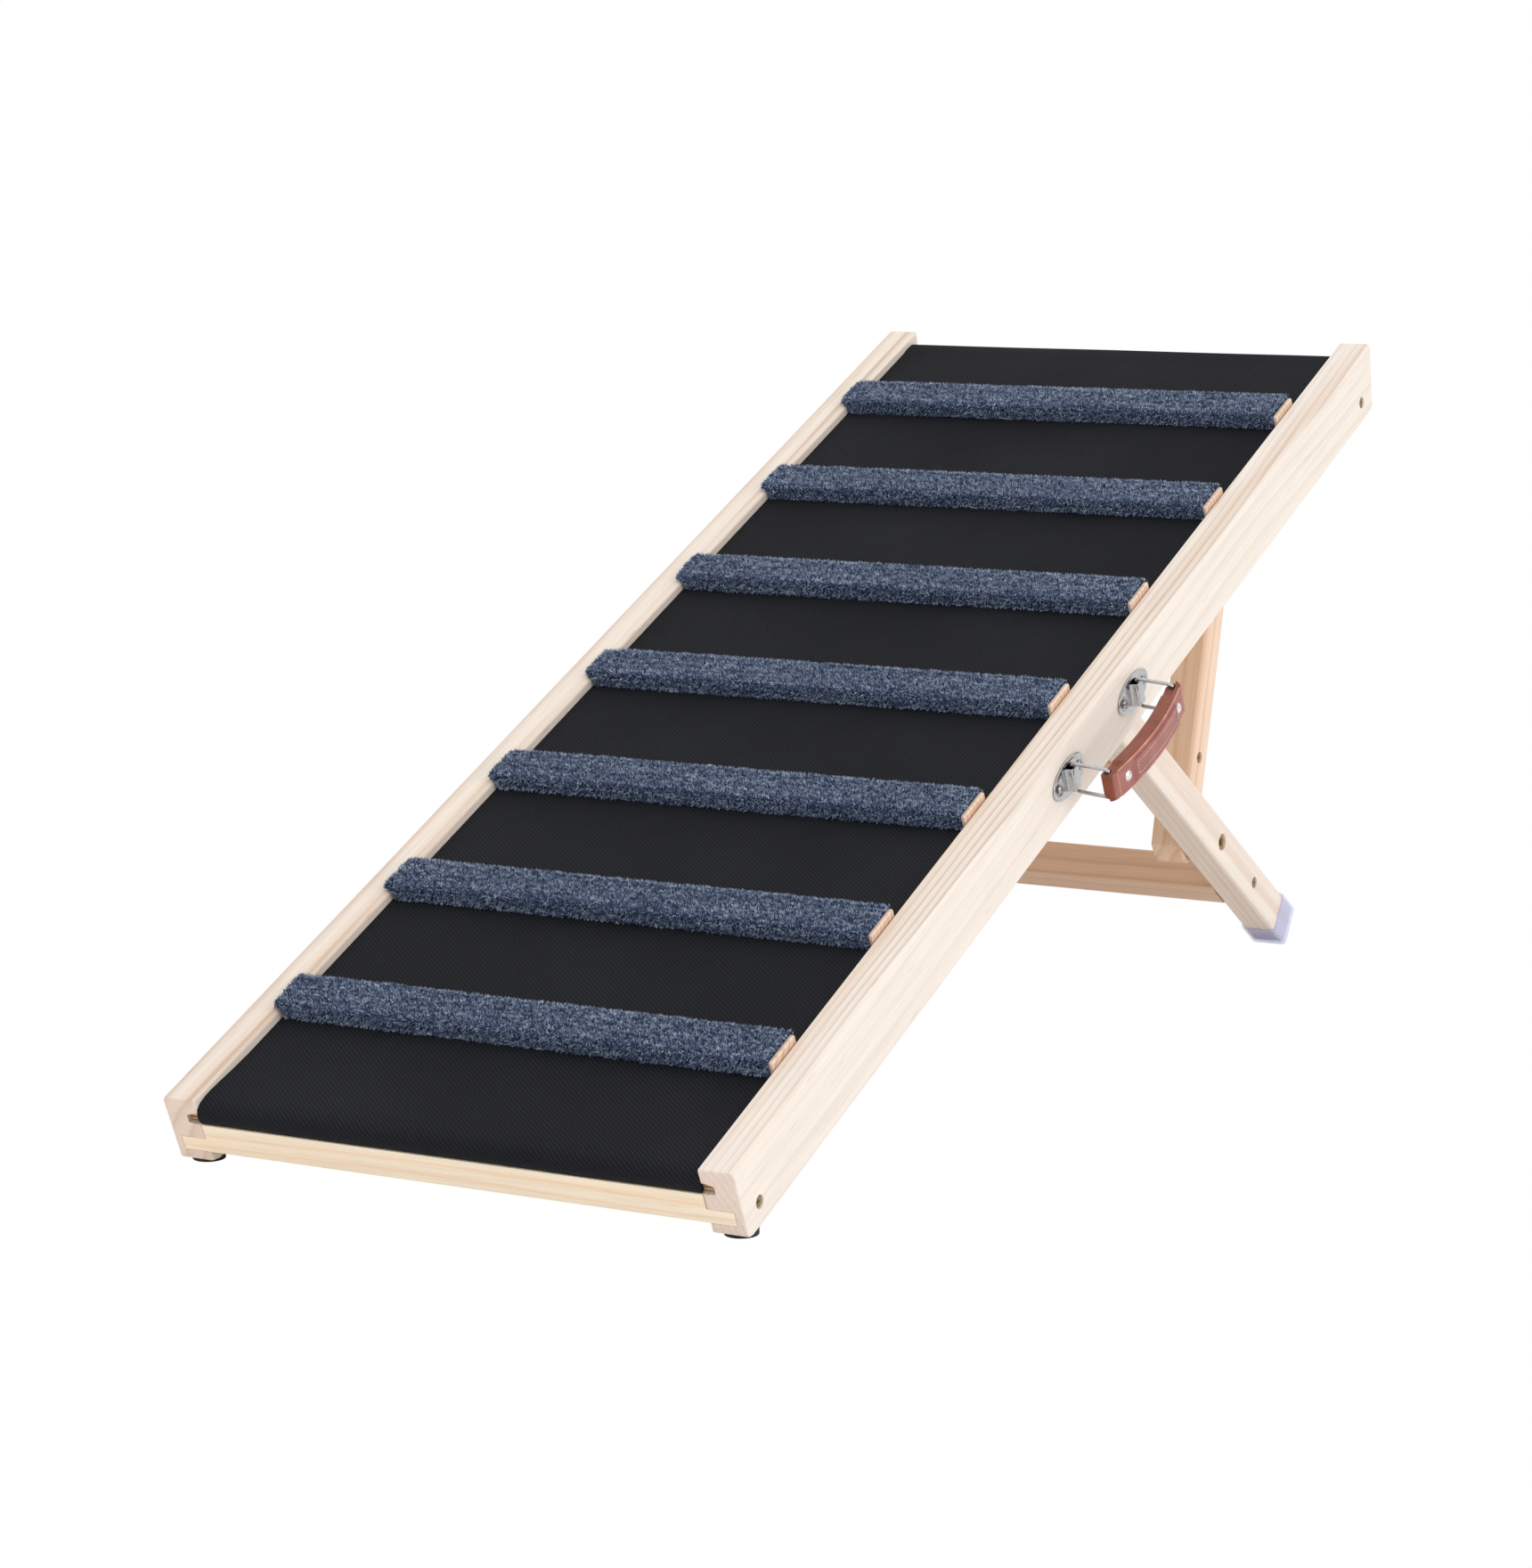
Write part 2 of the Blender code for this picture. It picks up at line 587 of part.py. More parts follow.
# ---- the whole ramp ---------------------------------------------------------
def stand_on_floor(ramp):
    """Move the frame so the origin is under the middle of the object's box."""
    bpy.context.view_layer.update()
    graph = bpy.context.evaluated_depsgraph_get()
    corners = []
    for obj in bpy.data.objects:
        if obj.type in {"MESH", "CURVE"} and not obj.hide_render:
            shape = obj.evaluated_get(graph)
            mesh = shape.to_mesh()
            corners += [shape.matrix_world @ v.co for v in mesh.vertices]
            shape.to_mesh_clear()
    low = [min(c[i] for c in corners) for i in range(3)]
    high = [max(c[i] for c in corners) for i in range(3)]
    ramp.location.x -= (low[0] + high[0]) / 2
    ramp.location.y -= (low[1] + high[1]) / 2
    ramp.location.z -= low[2]


def main():
    clear_scene()
    pine = material("pine", (0.80, 0.62, 0.44), 0.55)
    plywood = material("plywood", (0.72, 0.55, 0.37), 0.6)
    beech = material("beech", (0.68, 0.46, 0.28), 0.5)
    mat = material("anti_slip_mat", (0.020, 0.021, 0.026), 0.85)
    carpet = material("carpet", (0.10, 0.13, 0.20), 0.95)
    rubber = material("foot_rubber", (0.015, 0.015, 0.015), 0.7)
    clear = material("clear_vinyl", (0.80, 0.82, 0.92), 0.2, alpha=0.45)
    chrome = material("chrome", (0.75, 0.75, 0.76), 0.15, 1.0)
    steel = material("zinc_steel", (0.62, 0.60, 0.56), 0.35, 1.0)
    brass = material("brass", (0.72, 0.55, 0.25), 0.35, 1.0)
    leather = material("leather", (0.28, 0.09, 0.045), 0.5)

    ramp = empty("ramp_frame", at=(0, 0, LIFT), turn_x=TILT)
    leg = empty("leg_hinge", ramp, (0, PIVOT_Y, PIVOT_Z), turn_x=LEG_ANGLE)
    brace = empty("brace_hinge", leg, (0, LEG_TO_BRACE, 0), turn_x=BRACE_ANGLE - LEG_ANGLE)

    sides = {-1: "left", 1: "right"}
    rails = {side: make_rail(f"rail_{word}", side, ramp, pine) for side, word in sides.items()}
    toe, heel = make_toe_cutter(ramp), make_heel_cutter(ramp)
    low_bar = make_deck_bar("low_crossbar", LOW_BAR, ramp, pine, rails)
    high_bar = make_deck_bar("high_crossbar", HIGH_BAR, ramp, pine, rails)
    make_board(ramp, plywood)
    make_mat(ramp, mat)
    for number in range(1, CLEAT_COUNT + 1):
        make_cleat(number, ramp, pine, carpet)

    leg_bar = make_cross_piece("leg_crossbar", LEG_TO_CROSSBAR, LEG_INNER - GAP, leg, pine)
    brace_bar = make_cross_piece("brace_crossbar", BRACE_TO_CROSSBAR, BRACE_INNER - GAP, brace, pine)
    make_dowel(brace, beech)
    for side, word in sides.items():
        rail = rails[side]
        cut(rail, toe, heel)
        make_pad(f"foot_pad_{word}", side, ramp, rubber)
        make_rack(f"prop_rack_{word}", side, ramp, pine)
        shank = make_leg(f"leg_{word}", side, leg, pine)
        make_cap(f"leg_cap_{word}", side, leg, clear)
        arm = make_brace_arm(f"brace_arm_{word}", side, brace, pine)
        outer = side * WIDTH / 2
        wood_screw(f"rail_screw_low_{word}", ramp, (outer, 0.0186, -0.0330), side, 0.040, steel, (rail, low_bar))
        wood_screw(f"rail_screw_high_{word}", ramp, (outer, 1.0090, -0.0330), side, 0.040, steel, (rail, high_bar))
        wood_screw(f"leg_screw_{word}", leg, (side * LEG_OUTER, LEG_TO_CROSSBAR, 0), side, 0.045,
                   steel, (shank, leg_bar))
        wood_screw(f"brace_screw_{word}", brace, (side * BRACE_OUTER, BRACE_TO_CROSSBAR, 0), side, 0.045,
                   steel, (arm, brace_bar))
        pivot_bolt(f"leg_bolt_{word}", ramp, (side * LEG_INNER, PIVOT_Y, PIVOT_Z), -side,
                   0.0070, 0.0040, 0.0012, 0.038, steel, (shank, rail))
        pivot_bolt(f"brace_bolt_{word}", leg, (side * LEG_OUTER, LEG_TO_BRACE, 0), side,
                   0.0058, 0.0035, 0.0012, 0.042, brass, (shank, arm))

    hinge_x = WIDTH / 2 + BAIL_OUT
    low_hinge = empty("bail_hinge_low", ramp, (hinge_x, HANDLE_LOW_Y, HANDLE_Z), turn_z=-BAIL_LEAN)
    high_hinge = empty("bail_hinge_high", ramp, (hinge_x, HANDLE_HIGH_Y, HANDLE_Z), turn_z=-BAIL_LEAN)
    grip = empty("grip_hinge", low_hinge, (BAIL_LONG, 0, 0), turn_z=BAIL_LEAN)
    for word, y, hinge in (("low", HANDLE_LOW_Y, low_hinge), ("high", HANDLE_HIGH_Y, high_hinge)):
        plate = make_plate(f"handle_plate_{word}", y, ramp, chrome)
        make_bail(f"bail_{word}", hinge, chrome)
        for number, out in enumerate((-HANDLE_SCREW_OUT, HANDLE_SCREW_OUT), 1):
            make_plate_screw(f"plate_screw_{word}_{number}", y + out, ramp, steel, plate, rails[1])
    body = make_grip(grip, leather)
    make_rivet("grip_rivet_low", RIVET_IN, grip, steel, body)
    make_rivet("grip_rivet_high", GRIP_SPAN - RIVET_IN, grip, steel, body)
    stand_on_floor(ramp)


main()
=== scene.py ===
# %% [markdown]
# # A folding dog ramp
#
# The ramp is two grooved pine rails with a matted deck between them, seven
# carpeted cleats, a propped pair of legs and a leather carry handle.  The hard
# parts come ready made from the CAD frame.  This lesson loads them, builds the
# soft and small parts around them, and gives every piece its finish.
#
# Each new piece is worked out as a whole array of points with numpy, because a
# surface is then one readable formula and not a heap of separate edits.

import json
import math

import bmesh
import bpy
import numpy as np
from mathutils import Matrix, Vector


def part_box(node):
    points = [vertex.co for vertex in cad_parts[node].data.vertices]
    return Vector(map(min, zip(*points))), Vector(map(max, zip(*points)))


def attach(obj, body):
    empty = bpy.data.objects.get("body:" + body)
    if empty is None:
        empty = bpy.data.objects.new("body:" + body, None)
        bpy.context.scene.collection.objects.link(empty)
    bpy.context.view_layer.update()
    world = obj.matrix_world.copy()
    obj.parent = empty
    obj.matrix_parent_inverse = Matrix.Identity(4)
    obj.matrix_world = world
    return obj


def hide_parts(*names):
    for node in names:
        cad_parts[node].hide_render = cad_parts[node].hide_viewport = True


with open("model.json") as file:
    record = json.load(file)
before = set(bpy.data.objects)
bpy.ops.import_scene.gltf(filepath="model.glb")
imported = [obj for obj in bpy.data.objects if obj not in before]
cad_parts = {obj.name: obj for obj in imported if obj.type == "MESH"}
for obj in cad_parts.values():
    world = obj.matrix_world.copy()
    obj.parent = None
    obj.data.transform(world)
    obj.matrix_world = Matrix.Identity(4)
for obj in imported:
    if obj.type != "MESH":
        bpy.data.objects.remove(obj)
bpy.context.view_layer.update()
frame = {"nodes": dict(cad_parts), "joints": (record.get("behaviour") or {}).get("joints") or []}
nodes = frame["nodes"]
joints = {joint["name"]: joint for joint in frame["joints"]}

# %% [markdown]
# ## Working in the ramp's own directions
#
# The deck slopes, and the legs and the brace lean, so world axes are awkward.
# A place holds an origin and three directions: across the ramp, along the
# piece, and square to it.  The joints give all of them, so the new pieces fit
# the frame however it stands.

# %% Places
ACROSS = np.array([1.0, 0.0, 0.0])


def place_at(origin, along):
    """A place whose third direction is along turned a quarter turn up."""
    along = np.array(along, float)
    along[0] = 0.0
    along /= np.linalg.norm(along)
    square = np.array([0.0, -along[2], along[1]])
    return np.array(origin, float), np.array([ACROSS, along, square])


def put(points, place):
    """World points: origin + x across + y along + z square, all at once."""
    origin, axes = place
    return origin + np.asarray(points, float) @ axes


def extent(node, place):
    """Lowest and highest corner of a CAD node, measured in a place."""
    mesh = nodes[node].data
    points = np.zeros(len(mesh.vertices) * 3)
    mesh.vertices.foreach_get("co", points)
    local = (points.reshape(-1, 3) - place[0]) @ place[1].T
    return local.min(0), local.max(0)


def box(node):
    """Lowest and highest corner of a CAD node in the world."""
    return np.array(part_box(node))


def pivot(joint):
    return np.array(joints[joint]["pos_m"])


BAIL_SPOT = np.array([0.2046, 0.4663, -0.0230])   # the low bail's hinge, on the deck
up = np.array(joints["bail_low_swing"]["axis"])
slope = np.array([0.0, up[2], -up[1]])
DECK = place_at(pivot("bail_low_swing") - BAIL_SPOT @ [ACROSS, slope, up], slope)
leg_pivot = pivot("leg_fold")
brace_pivot = pivot("brace_fold")
LEG = place_at(leg_pivot, brace_pivot - leg_pivot)
dowel_low, dowel_high = box("prop_dowel")
BRACE = place_at(brace_pivot, (dowel_low + dowel_high) / 2 - brace_pivot)
print("slope", round(math.degrees(math.asin(slope[2])), 2), "degrees")

# %% [markdown]
# ## Camera, floor and light
#
# A long lens from the front right shows the deck, the right rail and the legs
# at once.  The floor only throws light back: the camera sees the even white sky
# instead.  A wide lamp on the right lifts the outer faces over the tops, which
# gives pale wood its shape.  Dark cards cast nothing, but polished metal needs
# something dark to mirror.

# %% Camera
def add_object(name, data):
    obj = bpy.data.objects.new(name, data)
    bpy.context.scene.collection.objects.link(obj)
    return obj


EYE = (1.3794, -1.6480, 1.3799)          # in the deck's own directions
LOOK = np.array([-0.48310, 0.72550, -0.49017])
SIDE = np.array([0.87241, 0.44633, -0.19921])
LENS, SENSOR = 99.51, 36.0               # millimetres

camera = add_object("camera", bpy.data.cameras.new("camera"))
look, side = LOOK @ DECK[1], SIDE @ DECK[1]
pose = np.eye(4)
pose[:3, :3] = np.array([side, np.cross(side, look), -look]).T
pose[:3, 3] = put(EYE, DECK)
camera.matrix_world = Matrix(pose.tolist())
camera.data.lens, camera.data.sensor_width = LENS, SENSOR
camera.data.clip_end = 200.0
bpy.context.scene.camera = camera
bpy.context.scene.view_settings.view_transform = "Standard"
print("camera at", np.round(pose[:3, 3], 3).tolist())


# %% [markdown]
# ## Tools for materials
#
# A finish is a small web of nodes.  The web adds a node, sets what is constant
# and links what varies, so that each finish below reads like a recipe.

# %% Material helpers
class Web:
    """A Principled material and the web of nodes that feeds its shader."""

    def __init__(self, name, colour, roughness, **sockets):
        self.material = bpy.data.materials.new(name)
        self.material.use_nodes = True
        self.tree = self.material.node_tree
        self.shader = self.tree.nodes["Principled BSDF"].inputs
        sockets.update(Base_Color=(*colour, 1.0), Roughness=roughness)
        for key, value in sockets.items():
            self.shader[key.replace("_", " ")].default_value = value

    def node(self, kind, links=None, **settings):
        """Add a node; links maps an input to a constant or to another's output."""
        new = self.tree.nodes.new("ShaderNode" + kind)
        for key, value in settings.items():
            setattr(new, key, value)
        for key, value in (links or {}).items():
            if isinstance(value, bpy.types.NodeSocket):
                self.tree.links.new(value, new.inputs[key])
            else:
                new.inputs[key].default_value = value
        return new

    def where(self):
        return self.node("TexCoord").outputs["Object"]

    def calc(self, operation, first, second=0.0, third=0.0):
        return self.node("Math", {0: first, 1: second, 2: third}, operation=operation).outputs[0]

    def times(self, first, second):
        return self.calc("MULTIPLY", first, second)

    def times_plus(self, first, second, more):
        return self.calc("MULTIPLY_ADD", first, second, more)

    def stretch(self, vector, factors):
        return self.node("VectorMath", {0: vector, 1: factors}, operation="MULTIPLY").outputs[0]

    def facing(self, vector, way):
        """How much a vector points a way: their dot product."""
        return self.node("VectorMath", {0: vector, 1: way}, operation="DOT_PRODUCT").outputs["Value"]

    def noise(self, vector, scale, detail, stops=None, output=0):
        """Clouds of one scale, or of three, which draws them out one way."""
        if isinstance(scale, tuple):
            vector, scale = self.stretch(vector, scale), 1
        new = self.node("TexNoise", {"Vector": vector, "Scale": scale, "Detail": detail}).outputs[output]
        return self.ramp(new, stops) if stops else new

    def mix(self, factor, first, second, blend="MIX"):
        links = {0: factor, 6: opaque(first), 7: opaque(second)}
        return self.node("Mix", links, data_type="RGBA", blend_type=blend).outputs[2]

    def ramp(self, factor, stops):
        """Colours between stops, given as (position, colour or grey)."""
        new = self.node("ValToRGB", {0: factor})
        bar = new.color_ramp
        while len(bar.elements) < len(stops):
            bar.elements.new(0.5)
        for element, (position, tone) in zip(bar.elements, stops):
            element.position = position
            element.color = opaque(tone) if isinstance(tone, tuple) else (tone, tone, tone, 1.0)
        return new.outputs[0]

    def relief(self, height, distance, strength):
        links = {"Height": height, "Distance": distance, "Strength": strength}
        self.tree.links.new(self.node("Bump", links).outputs[0], self.shader["Normal"])

    def tint(self, colour):
        self.tree.links.new(colour, self.shader["Base Color"])


def opaque(tone):
    """A constant colour with its alpha of 1; a socket stays as it is."""
    return (*tone, 1.0) if isinstance(tone, tuple) else tone


def shade(colour, factor):
    return tuple(min(1.0, c * factor) for c in colour)


def srgb(red, green, blue):
    """The linear colour of a screen colour from 0 to 255."""
    tone = np.array([red, green, blue]) / 255
    return tuple(float(t) for t in np.where(tone < 0.04045, tone / 12.92, ((tone + 0.055) / 1.055) ** 2.4))


# %% Floor, sky and lamps
def flat_card(name, corners, material):
    mesh = bpy.data.meshes.new(name)
    mesh.from_pydata([tuple(c) for c in corners], [], [(0, 1, 2, 3)])
    mesh.materials.append(material)
    card = add_object(name, mesh)
    return card


paint = Web("floor_paint", (0.90, 0.90, 0.90), 0.9, Specular_IOR_Level=0.1)
paint.tint(paint.noise(paint.where(), 3.0, 3.0, [(0.3, 0.89), (0.7, 0.91)]))
FLOOR = 60.0
floor = flat_card("floor", [(-FLOOR, -FLOOR, 0), (FLOOR, -FLOOR, 0), (FLOOR, FLOOR, 0), (-FLOOR, FLOOR, 0)],
                  paint.material)
floor.visible_camera = False

sky = bpy.data.worlds.new("studio")
sky.use_nodes = True
light = sky.node_tree.nodes["Background"].inputs
light["Color"].default_value = (1.0, 1.0, 1.0, 1.0)
light["Strength"].default_value = 1.0
bpy.context.scene.world = sky


def lamp(name, at, size, power):
    """A square lamp that looks at the middle of the ramp."""
    data = bpy.data.lights.new(name, "AREA")
    data.size, data.energy = size, power
    obj = add_object(name, data)
    obj.location = at
    obj.rotation_euler = (Vector((0.0, 0.0, 0.2)) - Vector(at)).to_track_quat("-Z", "Y").to_euler()


lamp("key", (3.2, -0.9, 1.0), 1.6, 20.0)
lamp("top", (-0.6, 0.3, 3.4), 2.4, 4.0)

black = Web("black_card", (0.01, 0.01, 0.01), 1.0).material
CARDS = [(1.5, -0.6, 0.0, 0.16, 1.6), (1.7, 0.9, 0.35, 0.9, 0.5), (0.9, -1.7, 0.0, 0.3, 0.5)]
for number, (x, y, low, high, wide) in enumerate(CARDS, 1):
    turn_x, turn_y = np.array([-y, x]) / math.hypot(x, y) * wide / 2
    left, right = (x - turn_x, y - turn_y), (x + turn_x, y + turn_y)
    corners = [(*left, low), (*right, low), (*right, high), (*left, high)]
    card = flat_card(f"dark_card_{number}", corners, black)
    card.visible_camera = card.visible_diffuse = card.visible_shadow = card.visible_transmission = False
print("floor, sky, 2 lamps and 3 dark cards")


# %% [markdown]
# ## Tools for shapes
#
# A surface is a grid of points: rows one way, columns the other.  Neighbours
# become quads.  Where a grid closes on itself its last points repeat the
# first, and welding them closes the seam; a pole is a row of equal points.
# A thick sheet is two such grids joined round their edges.

# %% Shape helpers
def joined(*parts):
    return np.concatenate(parts)


def spread(*coordinates):
    """Points from their coordinates, each spread over the others' shape."""
    return np.stack(np.broadcast_arrays(*coordinates), -1)


def unit(vectors):
    """The same directions, each one long."""
    return vectors / np.linalg.norm(vectors, axis=-1, keepdims=True)


def circle(steps):
    """Angles all the way round, the last on the first."""
    return np.linspace(0, 2 * np.pi, steps + 1)


def run_along(path):
    """How far each point of a path lies from its start."""
    return joined([0], np.cumsum(np.linalg.norm(np.diff(path, axis=0), axis=1)))


def quads(rows, columns, start=0):
    """The four corner numbers of every cell of a grid numbered row by row."""
    corner = start + np.arange(rows - 1)[:, None] * columns + np.arange(columns - 1)
    return spread(corner, corner + 1, corner + 1 + columns, corner + columns).reshape(-1, 4)


def add_piece(name, mesh, body, material):
    """A piece of one material that rides its body."""
    mesh.materials.append(material)
    piece = add_object(name, mesh)
    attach(piece, body)
    return piece


def finish_mesh(name, points, faces, body, material, slot, uv=None, sharp=45.0):
    """Weld, turn the faces outwards, smooth, and let the piece ride its body."""
    mesh = bpy.data.meshes.new(name)
    mesh.from_pydata(points.reshape(-1, 3).tolist(), [], [list(map(int, f)) for f in faces])
    if uv is not None:
        corner = np.zeros(len(mesh.loops), np.int32)
        mesh.loops.foreach_get("vertex_index", corner)
        mesh.uv_layers.new(name="flat").data.foreach_set("uv", uv.reshape(-1, 2)[corner].ravel())
    bm = bmesh.new()
    bm.from_mesh(mesh)
    bmesh.ops.remove_doubles(bm, verts=bm.verts, dist=2e-6)
    bmesh.ops.dissolve_degenerate(bm, edges=bm.edges, dist=1e-6)
    bmesh.ops.recalc_face_normals(bm, faces=bm.faces)
    if bm.calc_volume(signed=True) < 0:
        bmesh.ops.reverse_faces(bm, faces=bm.faces)
    bm.to_mesh(mesh)
    bm.free()
    mesh.shade_smooth()
    mesh.set_sharp_from_angle(angle=math.radians(sharp))
    return add_piece(name, mesh, body, material)


def capped(points):
    """Add a pole at each end of a grid, in the middle of its last ring."""
    first, last = points[0].mean(0), points[-1].mean(0)
    return joined(np.broadcast_to(first, points[:1].shape), points,
                  np.broadcast_to(last, points[:1].shape))


def solid(name, points, *stuff, **more):
    """A closed piece from one grid; stuff is its body, material and slot, and the slot is not used."""
    return finish_mesh(name, points, quads(*points.shape[:2]), *stuff, **more)


def thick(name, outer, inner, *stuff, wrapped=False, uv=None):
    """A closed shell from two grids of one size, joined round their edges."""
    rows, columns = outer.shape[:2]
    count = rows * columns
    cells = quads(rows, columns)
    number = np.arange(count).reshape(rows, columns)
    rims = [number[0], number[-1]] + ([] if wrapped else [number[:, 0], number[:, -1]])
    strips = [spread(rim[:-1], rim[1:], rim[1:] + count, rim[:-1] + count) for rim in rims]
    faces = np.concatenate([cells, cells[:, ::-1] + count] + strips)
    both = joined(outer.reshape(-1, 3), inner.reshape(-1, 3))
    if uv is not None:
        uv = joined(uv, uv)
    return finish_mesh(name, both, faces, *stuff, uv=uv)


def ring_round(radii, distances, turns):
    """A turned profile: (distance, radius x cosine, radius x sine)."""
    angle = circle(turns)
    radii, distances = np.asarray(radii)[:, None], np.asarray(distances)[:, None]
    return spread(distances, radii * np.cos(angle), radii * np.sin(angle))


def along_path(path, radius, turns=12, closed=False):
    """A tube: a circle square to the path's direction at each of its points."""
    if closed:
        path = joined(path, path[:1])
    ahead = np.gradient(path, axis=0)
    if closed:
        ahead[0] = ahead[-1] = path[1] - path[-2]
    ahead = unit(ahead)
    flat = np.cross(path[len(path) // 3] - path[0], path[2 * len(path) // 3] - path[0])
    flat /= np.linalg.norm(flat)
    side_way = np.cross(ahead, flat)
    angle = circle(turns)[None, :, None]
    return path[:, None] + radius * (np.cos(angle) * side_way[:, None] + np.sin(angle) * flat)


def smooth_step(value, low, high):
    """0 below low, 1 above high, and 3t^2 - 2t^3 between."""
    t = np.clip((value - low) / (high - low), 0, 1)
    return t * t * (3 - 2 * t)


def round_corners(corners, radius, steps=6):
    """A closed outline whose square corners become quarter arcs."""
    corners = np.asarray(corners, float)
    back, on = unit(np.roll(corners, 1, 0) - corners), unit(np.roll(corners, -1, 0) - corners)
    t = np.linspace(0, np.pi / 2, steps + 1)[None, :, None]
    arcs = corners[:, None] + radius * ((1 - np.sin(t)) * back[:, None] + (1 - np.cos(t)) * on[:, None])
    return arcs.reshape(-1, 2)


def doorway(half_wide, low, high, radius):
    """A door frame's outline: up, over and down, with two round corners."""
    line = round_corners([(-half_wide, low), (-half_wide, high), (half_wide, high), (half_wide, low)], radius)
    return line[len(line) // 4:3 * len(line) // 4]


def spaced(path, gap):
    """The same open path again, with points a fixed gap apart."""
    run = run_along(path)
    at = np.linspace(0, run[-1], max(2, int(run[-1] / gap) + 1))
    return np.stack([np.interp(at, run, path[:, k]) for k in range(path.shape[1])], -1)


def soften(values, passes):
    """Average each value with its four neighbours, passes times over."""
    for _ in range(passes):
        values = (values + np.roll(values, 1, 0) + np.roll(values, -1, 0)
                  + np.roll(values, 1, 1) + np.roll(values, -1, 1)) / 5
    return values


print("shape helpers ready")


# %% [markdown]
# ## Pine
#
# Pine shows its growth rings: round a trunk's middle line they are circles, and
# a plank's faces are slices through them, so one solid pattern gives straight
# lines on one face, broad flames on the next and arcs on the ends.  A picture
# of wood could not do that.  The pattern is measured along the grain of each
# piece, and each has its own middle line and tint.

# %% Pine finish
LEAN = {"deck": DECK, "leg": LEG, "brace": BRACE}
UP = tuple(float(u) for u in up)


def grain_turn(way):
    """The turn that lays a piece's grain along y: about z for cross pieces."""
    if way == "across":
        return (0.0, 0.0, math.pi / 2), (1.0, 0.0, 0.0)
    along = LEAN[way][1][1]
    return (-math.atan2(along[2], along[1]), 0.0, 0.0), tuple(float(a) for a in along)


def pine(name, way, near, pith, early, late, ring=0.0052, streak=(0.88, 0.76, 0.66), depth=0.75, side=1.0):
    """Rings: distance from the pith line, bent by slow noise, cut into years.

    The pith line is measured from the middle of the node called near.  side
    is how strong the lines are on the upright faces, next to the tops: painted
    light, as the paler, plainer upright faces stand for the side lamp washing
    them out.
    """
    early, late = srgb(*early), srgb(*late)
    web = Web(name, early, 0.5, Specular_IOR_Level=0.3)
    turn, along = grain_turn(way)
    here = web.node("TexCoord")
    x, y, z = np.mean(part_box(near), 0)
    spot = (-y, x, z) if way == "across" else LEAN[way][1] @ (x, y, z)
    grain = web.node("Mapping", {"Vector": here.outputs["Object"], "Rotation": turn,
                                 "Location": tuple(float(-s - q) for s, q in zip(spot, pith))}).outputs[0]
    wander = web.noise(grain, (7, 1.3, 7), 2, output=1)
    bent = web.node("VectorMath", {0: wander, 1: (0.022, 0, 0.022), 2: grain},
                    operation="MULTIPLY_ADD").outputs[0]
    across = web.stretch(bent, (1, 0, 1))
    from_pith = web.node("VectorMath", {0: across}, operation="LENGTH").outputs["Value"]
    ripple = web.noise(grain, (90, 5, 90), 3)
    years = web.times_plus(ripple, 0.28, web.calc("DIVIDE", from_pith, ring))
    line = web.ramp(web.calc("FRACT", years),
                    [(0, 0.35), (0.10, 0), (0.45, 0.06), (0.72, 0.35), (0.93, 1), (1, 0.35)])
    patchy = web.noise(grain, (34, 1.1, 34), 2, [(0.34, 0.22), (0.68, 1)])
    end = web.calc("ABSOLUTE", web.facing(here.outputs["Normal"], along))
    end = web.ramp(end, [(0.70, 0), (0.86, 1)])
    # Painted light: tops and undersides keep the full grain and streaks, but upright faces keep only side of
    # them. The upright faces then read paler, as if washed out by the side lamp.
    top_grain_side_wash = web.calc("ABSOLUTE", web.facing(here.outputs["Normal"], UP))
    top_grain_side_wash = web.ramp(top_grain_side_wash, [(0.3, side), (0.8, 1)])
    amount = web.times(line, web.calc("MAXIMUM", patchy, end))
    wood = web.mix(web.times(amount, web.times(top_grain_side_wash, depth)), early, late)
    broad = web.noise(grain, (75, 1.6, 75), 3, [(0.48, 0), (0.72, 0.75)])
    fibre = web.noise(grain, (850, 16, 850), 2)
    fleck = web.noise(grain, (420, 30, 420), 1, [(0.70, 0), (0.80, 0.32)])
    for share, tone in ((web.times(broad, top_grain_side_wash), streak), (1, web.ramp(fibre, [(0.25, 0.90), (0.60, 1)])),
                        (fleck, late), (web.times(end, 0.8), (0.95, 0.85, 0.82))):
        wood = web.mix(share, wood, tone, "MULTIPLY")
    web.tint(wood)
    web.relief(web.times_plus(fibre, 0.6, amount), 0.00018, 0.55)
    return web.material


def finish_node(name, material):
    """Give a CAD node its finish, in every slot it has."""
    mesh = nodes[name].data
    if not mesh.materials:
        mesh.materials.append(material)
    for index in range(len(mesh.materials)):
        mesh.materials[index] = material


